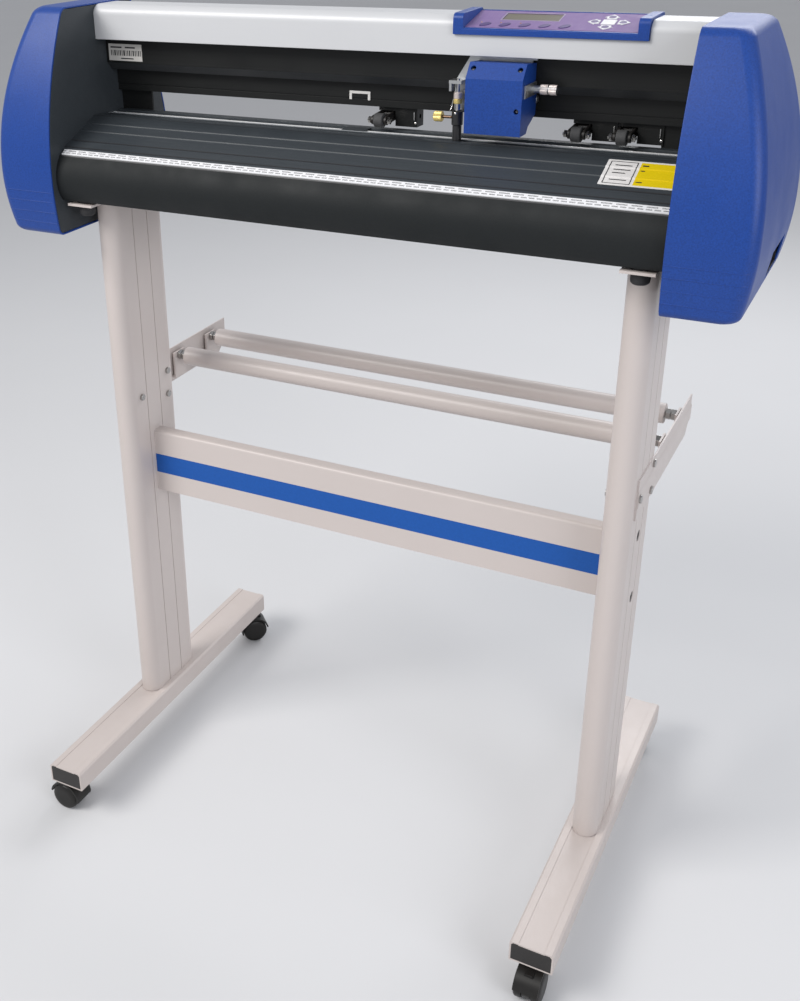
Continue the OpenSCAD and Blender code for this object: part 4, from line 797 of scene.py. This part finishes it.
def add_pen_details():
    """The pen holder and the clamp's knob, part by part; they stand for the two CAD nodes."""
    x, y = PEN
    up = (0, 0, 1)
    parts = (
        ("pen_sleeve", "pen_black", [(91.9, 0), (92.0, 0.5), (92.5, 2.2), (95, 5), (111, 5), (112, 6.2),
                                     (126, 6.2), (127.2, 4), (127.2, 0)], 0, 0),
        ("pen_neck", "chrome", [(127, 0), (127, 3), (139.2, 3), (139.2, 0)], 0, 0),
        ("pen_ring", "brass", [(134, 0), (134, 4.2), (134.5, 4.6), (138.2, 4.6), (138.7, 4.2), (138.7, 0)],
         20, 0.25),
        ("pen_nut", "nickel", [(139, 0), (139, 3.9), (139.8, 4.7), (145.2, 4.7), (146, 3.9), (146, 0)],
         0, 0),
        ("pen_stem", "chrome", [(145.8, 0), (145.8, 1.75), (159.9, 1.75), (160.4, 1.3), (160.4, 0)], 0, 0))
    for name, look, profile, flutes, depth in parts:
        steps = 4 * flutes if flutes else 40
        piece = turned(name, profile, (x, y, 0), up, look, "pen", steps, flutes, depth)
        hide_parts("pen_holder")
    screws("pen_clamp_screw", [(x, y - 6.0, 124.2)], (0, -1, 0), 1.7, 0.9, body="pen")
    wire("pen_spring_wire", [(x - 4.3, y + 1, 139), (x - 5.6, y + 1, 138), (x - 6.2, y, 134),
                             (x - 6.4, y - 1, 130), (x - 7.2, y - 2, 127.5), (x - 8.4, y - 2, 126.4)],
         0.45, "chrome", "pen")
    knob_at, along = (x, y, 119.2), (1, 0, 0)
    grip_outline = [(-26.8, 0), (-26.8, 4.6), (-26.2, 5.0), (-26, 5.45), (-25.6, 5.6), (-17.6, 5.6),
                    (-17.2, 5.2), (-17.2, 0)]
    rod_outline = [(-18, 0), (-18, 1.6), (-6.6, 1.6), (-6.6, 0)]
    grip = turned("knob_grip", grip_outline, knob_at, along, "brass", "knob", 96, 24, 0.35)
    rod = turned("knob_rod", rod_outline, knob_at, along, "bronze", "knob")
    for piece in (grip, rod):
        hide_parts("clamp_knob")


def add_carriage_details():
    """The two knurled halves of the thumb nut, a bush at the back, and the carriage's screws."""
    for i, x0 in enumerate((200.0, 209.3), 1):
        turned(f"thumb_nut_{i}", [(0, 4.1), (0, 4.9), (0.4, 5.2), (7.9, 5.2), (8.3, 4.9), (8.3, 4.1)],
               (x0, 8, 153.5), (1, 0, 0), "nickel", "carriage", 112, 28, 0.3)
    bush = [(0, 0), (0, 5.4), (0.6, 6), (7.4, 6), (8, 5.4), (8, 0)]
    turned("rear_bush", bush, (184, 28, 139), (0, 1, 0), "grey_plate", "carriage")
    screws("plate_screws", [(114, 16.5, 146), (121, 16.5, 132)], (0, -1, 0), 2.2, 1.0, body="carriage")
    across = Vector((0, 12, 15.3)).normalized()
    out = (0, -across.z, across.y)
    wells = [(x, -14.3, 175.0 - 2.4) for x in (133.6, 184.4)]
    screws("cover_screws", wells, out, 2.5, 0.9, "dark_metal", "carriage")
    screws("cover_front_screw", [(184.4, -19.0, 134.4)], (0, -1, 0), 2.4, 0.9, "dark_metal", "carriage")


def add_stand_details():
    """Black plugs in the access holes on the uprights' outer faces."""
    bm = bmesh.new()
    for hand in (-1, 1):
        for rise in (3.5, 87):
            at = Vector((hand * (SIDE + 0.0125), 0.003, DECK - STRETCHER_DROP * MM + rise * MM))
            rows = ((0, 0), (0, 6.85), (2.2, 6.85), (2.9, 6.2), (2.9, 2.6), (1.9, 2.2), (1.9, 0))
            lathe(bm, [(a * MM, r * MM) for a, r in rows], at, (hand, 0, 0), 40)
    flat_weighted(add_piece("access_plugs", from_bmesh(bm, "access_plugs"), "black_plastic"))


add_slope_label()
add_slope_lines()
add_rating_label()
add_throat_details()
add_panel_details()
add_pen_details()
add_carriage_details()
add_stand_details()


# ---- stage, lights and camera ----


def add_stage():
    bm = bmesh.new()
    bmesh.ops.create_grid(bm, x_segments=2, y_segments=2, size=30.0)
    floor = bpy.data.objects.new("floor", from_bmesh(bm, "floor"))
    bpy.context.scene.collection.objects.link(floor)
    floor.data.materials.append(stage_floor())
    world = bpy.data.worlds.new("studio")
    bpy.context.scene.world = world
    world.use_nodes = True
    world.node_tree.nodes["Background"].inputs["Color"].default_value = (0.80, 0.82, 0.86, 1)
    world.node_tree.nodes["Background"].inputs["Strength"].default_value = 0.62


def add_light(name, place_at, aim, size, power, color=(1, 1, 1)):
    light = bpy.data.lights.new(name, "AREA")
    light.shape = "RECTANGLE"
    light.size, light.size_y = size
    light.energy = power
    light.color = color
    lamp = bpy.data.objects.new(name, light)
    bpy.context.scene.collection.objects.link(lamp)
    lamp.location = place_at
    lamp.rotation_euler = (Vector(aim) - Vector(place_at)).to_track_quat("-Z", "Y").to_euler()


def add_camera():
    camera = bpy.data.objects.new("camera", bpy.data.cameras.new("camera"))
    bpy.context.scene.collection.objects.link(camera)
    camera.location = (0.58607, -1.23136, 1.18853)
    camera.rotation_euler = [math.radians(a) for a in (64.5938, 1.3421, 28.4683)]
    camera.data.sensor_width = 36.0
    camera.data.lens = 42.76
    camera.data.shift_x = 0.1057
    camera.data.shift_y = -0.0554
    camera.data.clip_start = 0.01
    bpy.context.scene.camera = camera


add_stage()
middle = (0.0, 0.0, 0.7)
add_light("key_light", (-1.6, -2.2, 2.9), middle, (1.8, 1.4), 90, (1.0, 0.98, 0.95))
add_light("fill_light", (2.6, -1.4, 1.6), middle, (1.6, 1.6), 34, (0.94, 0.96, 1.0))
add_light("back_light", (0.4, 2.6, 2.4), middle, (2.2, 1.2), 45, (0.97, 0.98, 1.0))
add_camera()
bpy.context.scene.view_settings.view_transform = "Standard"
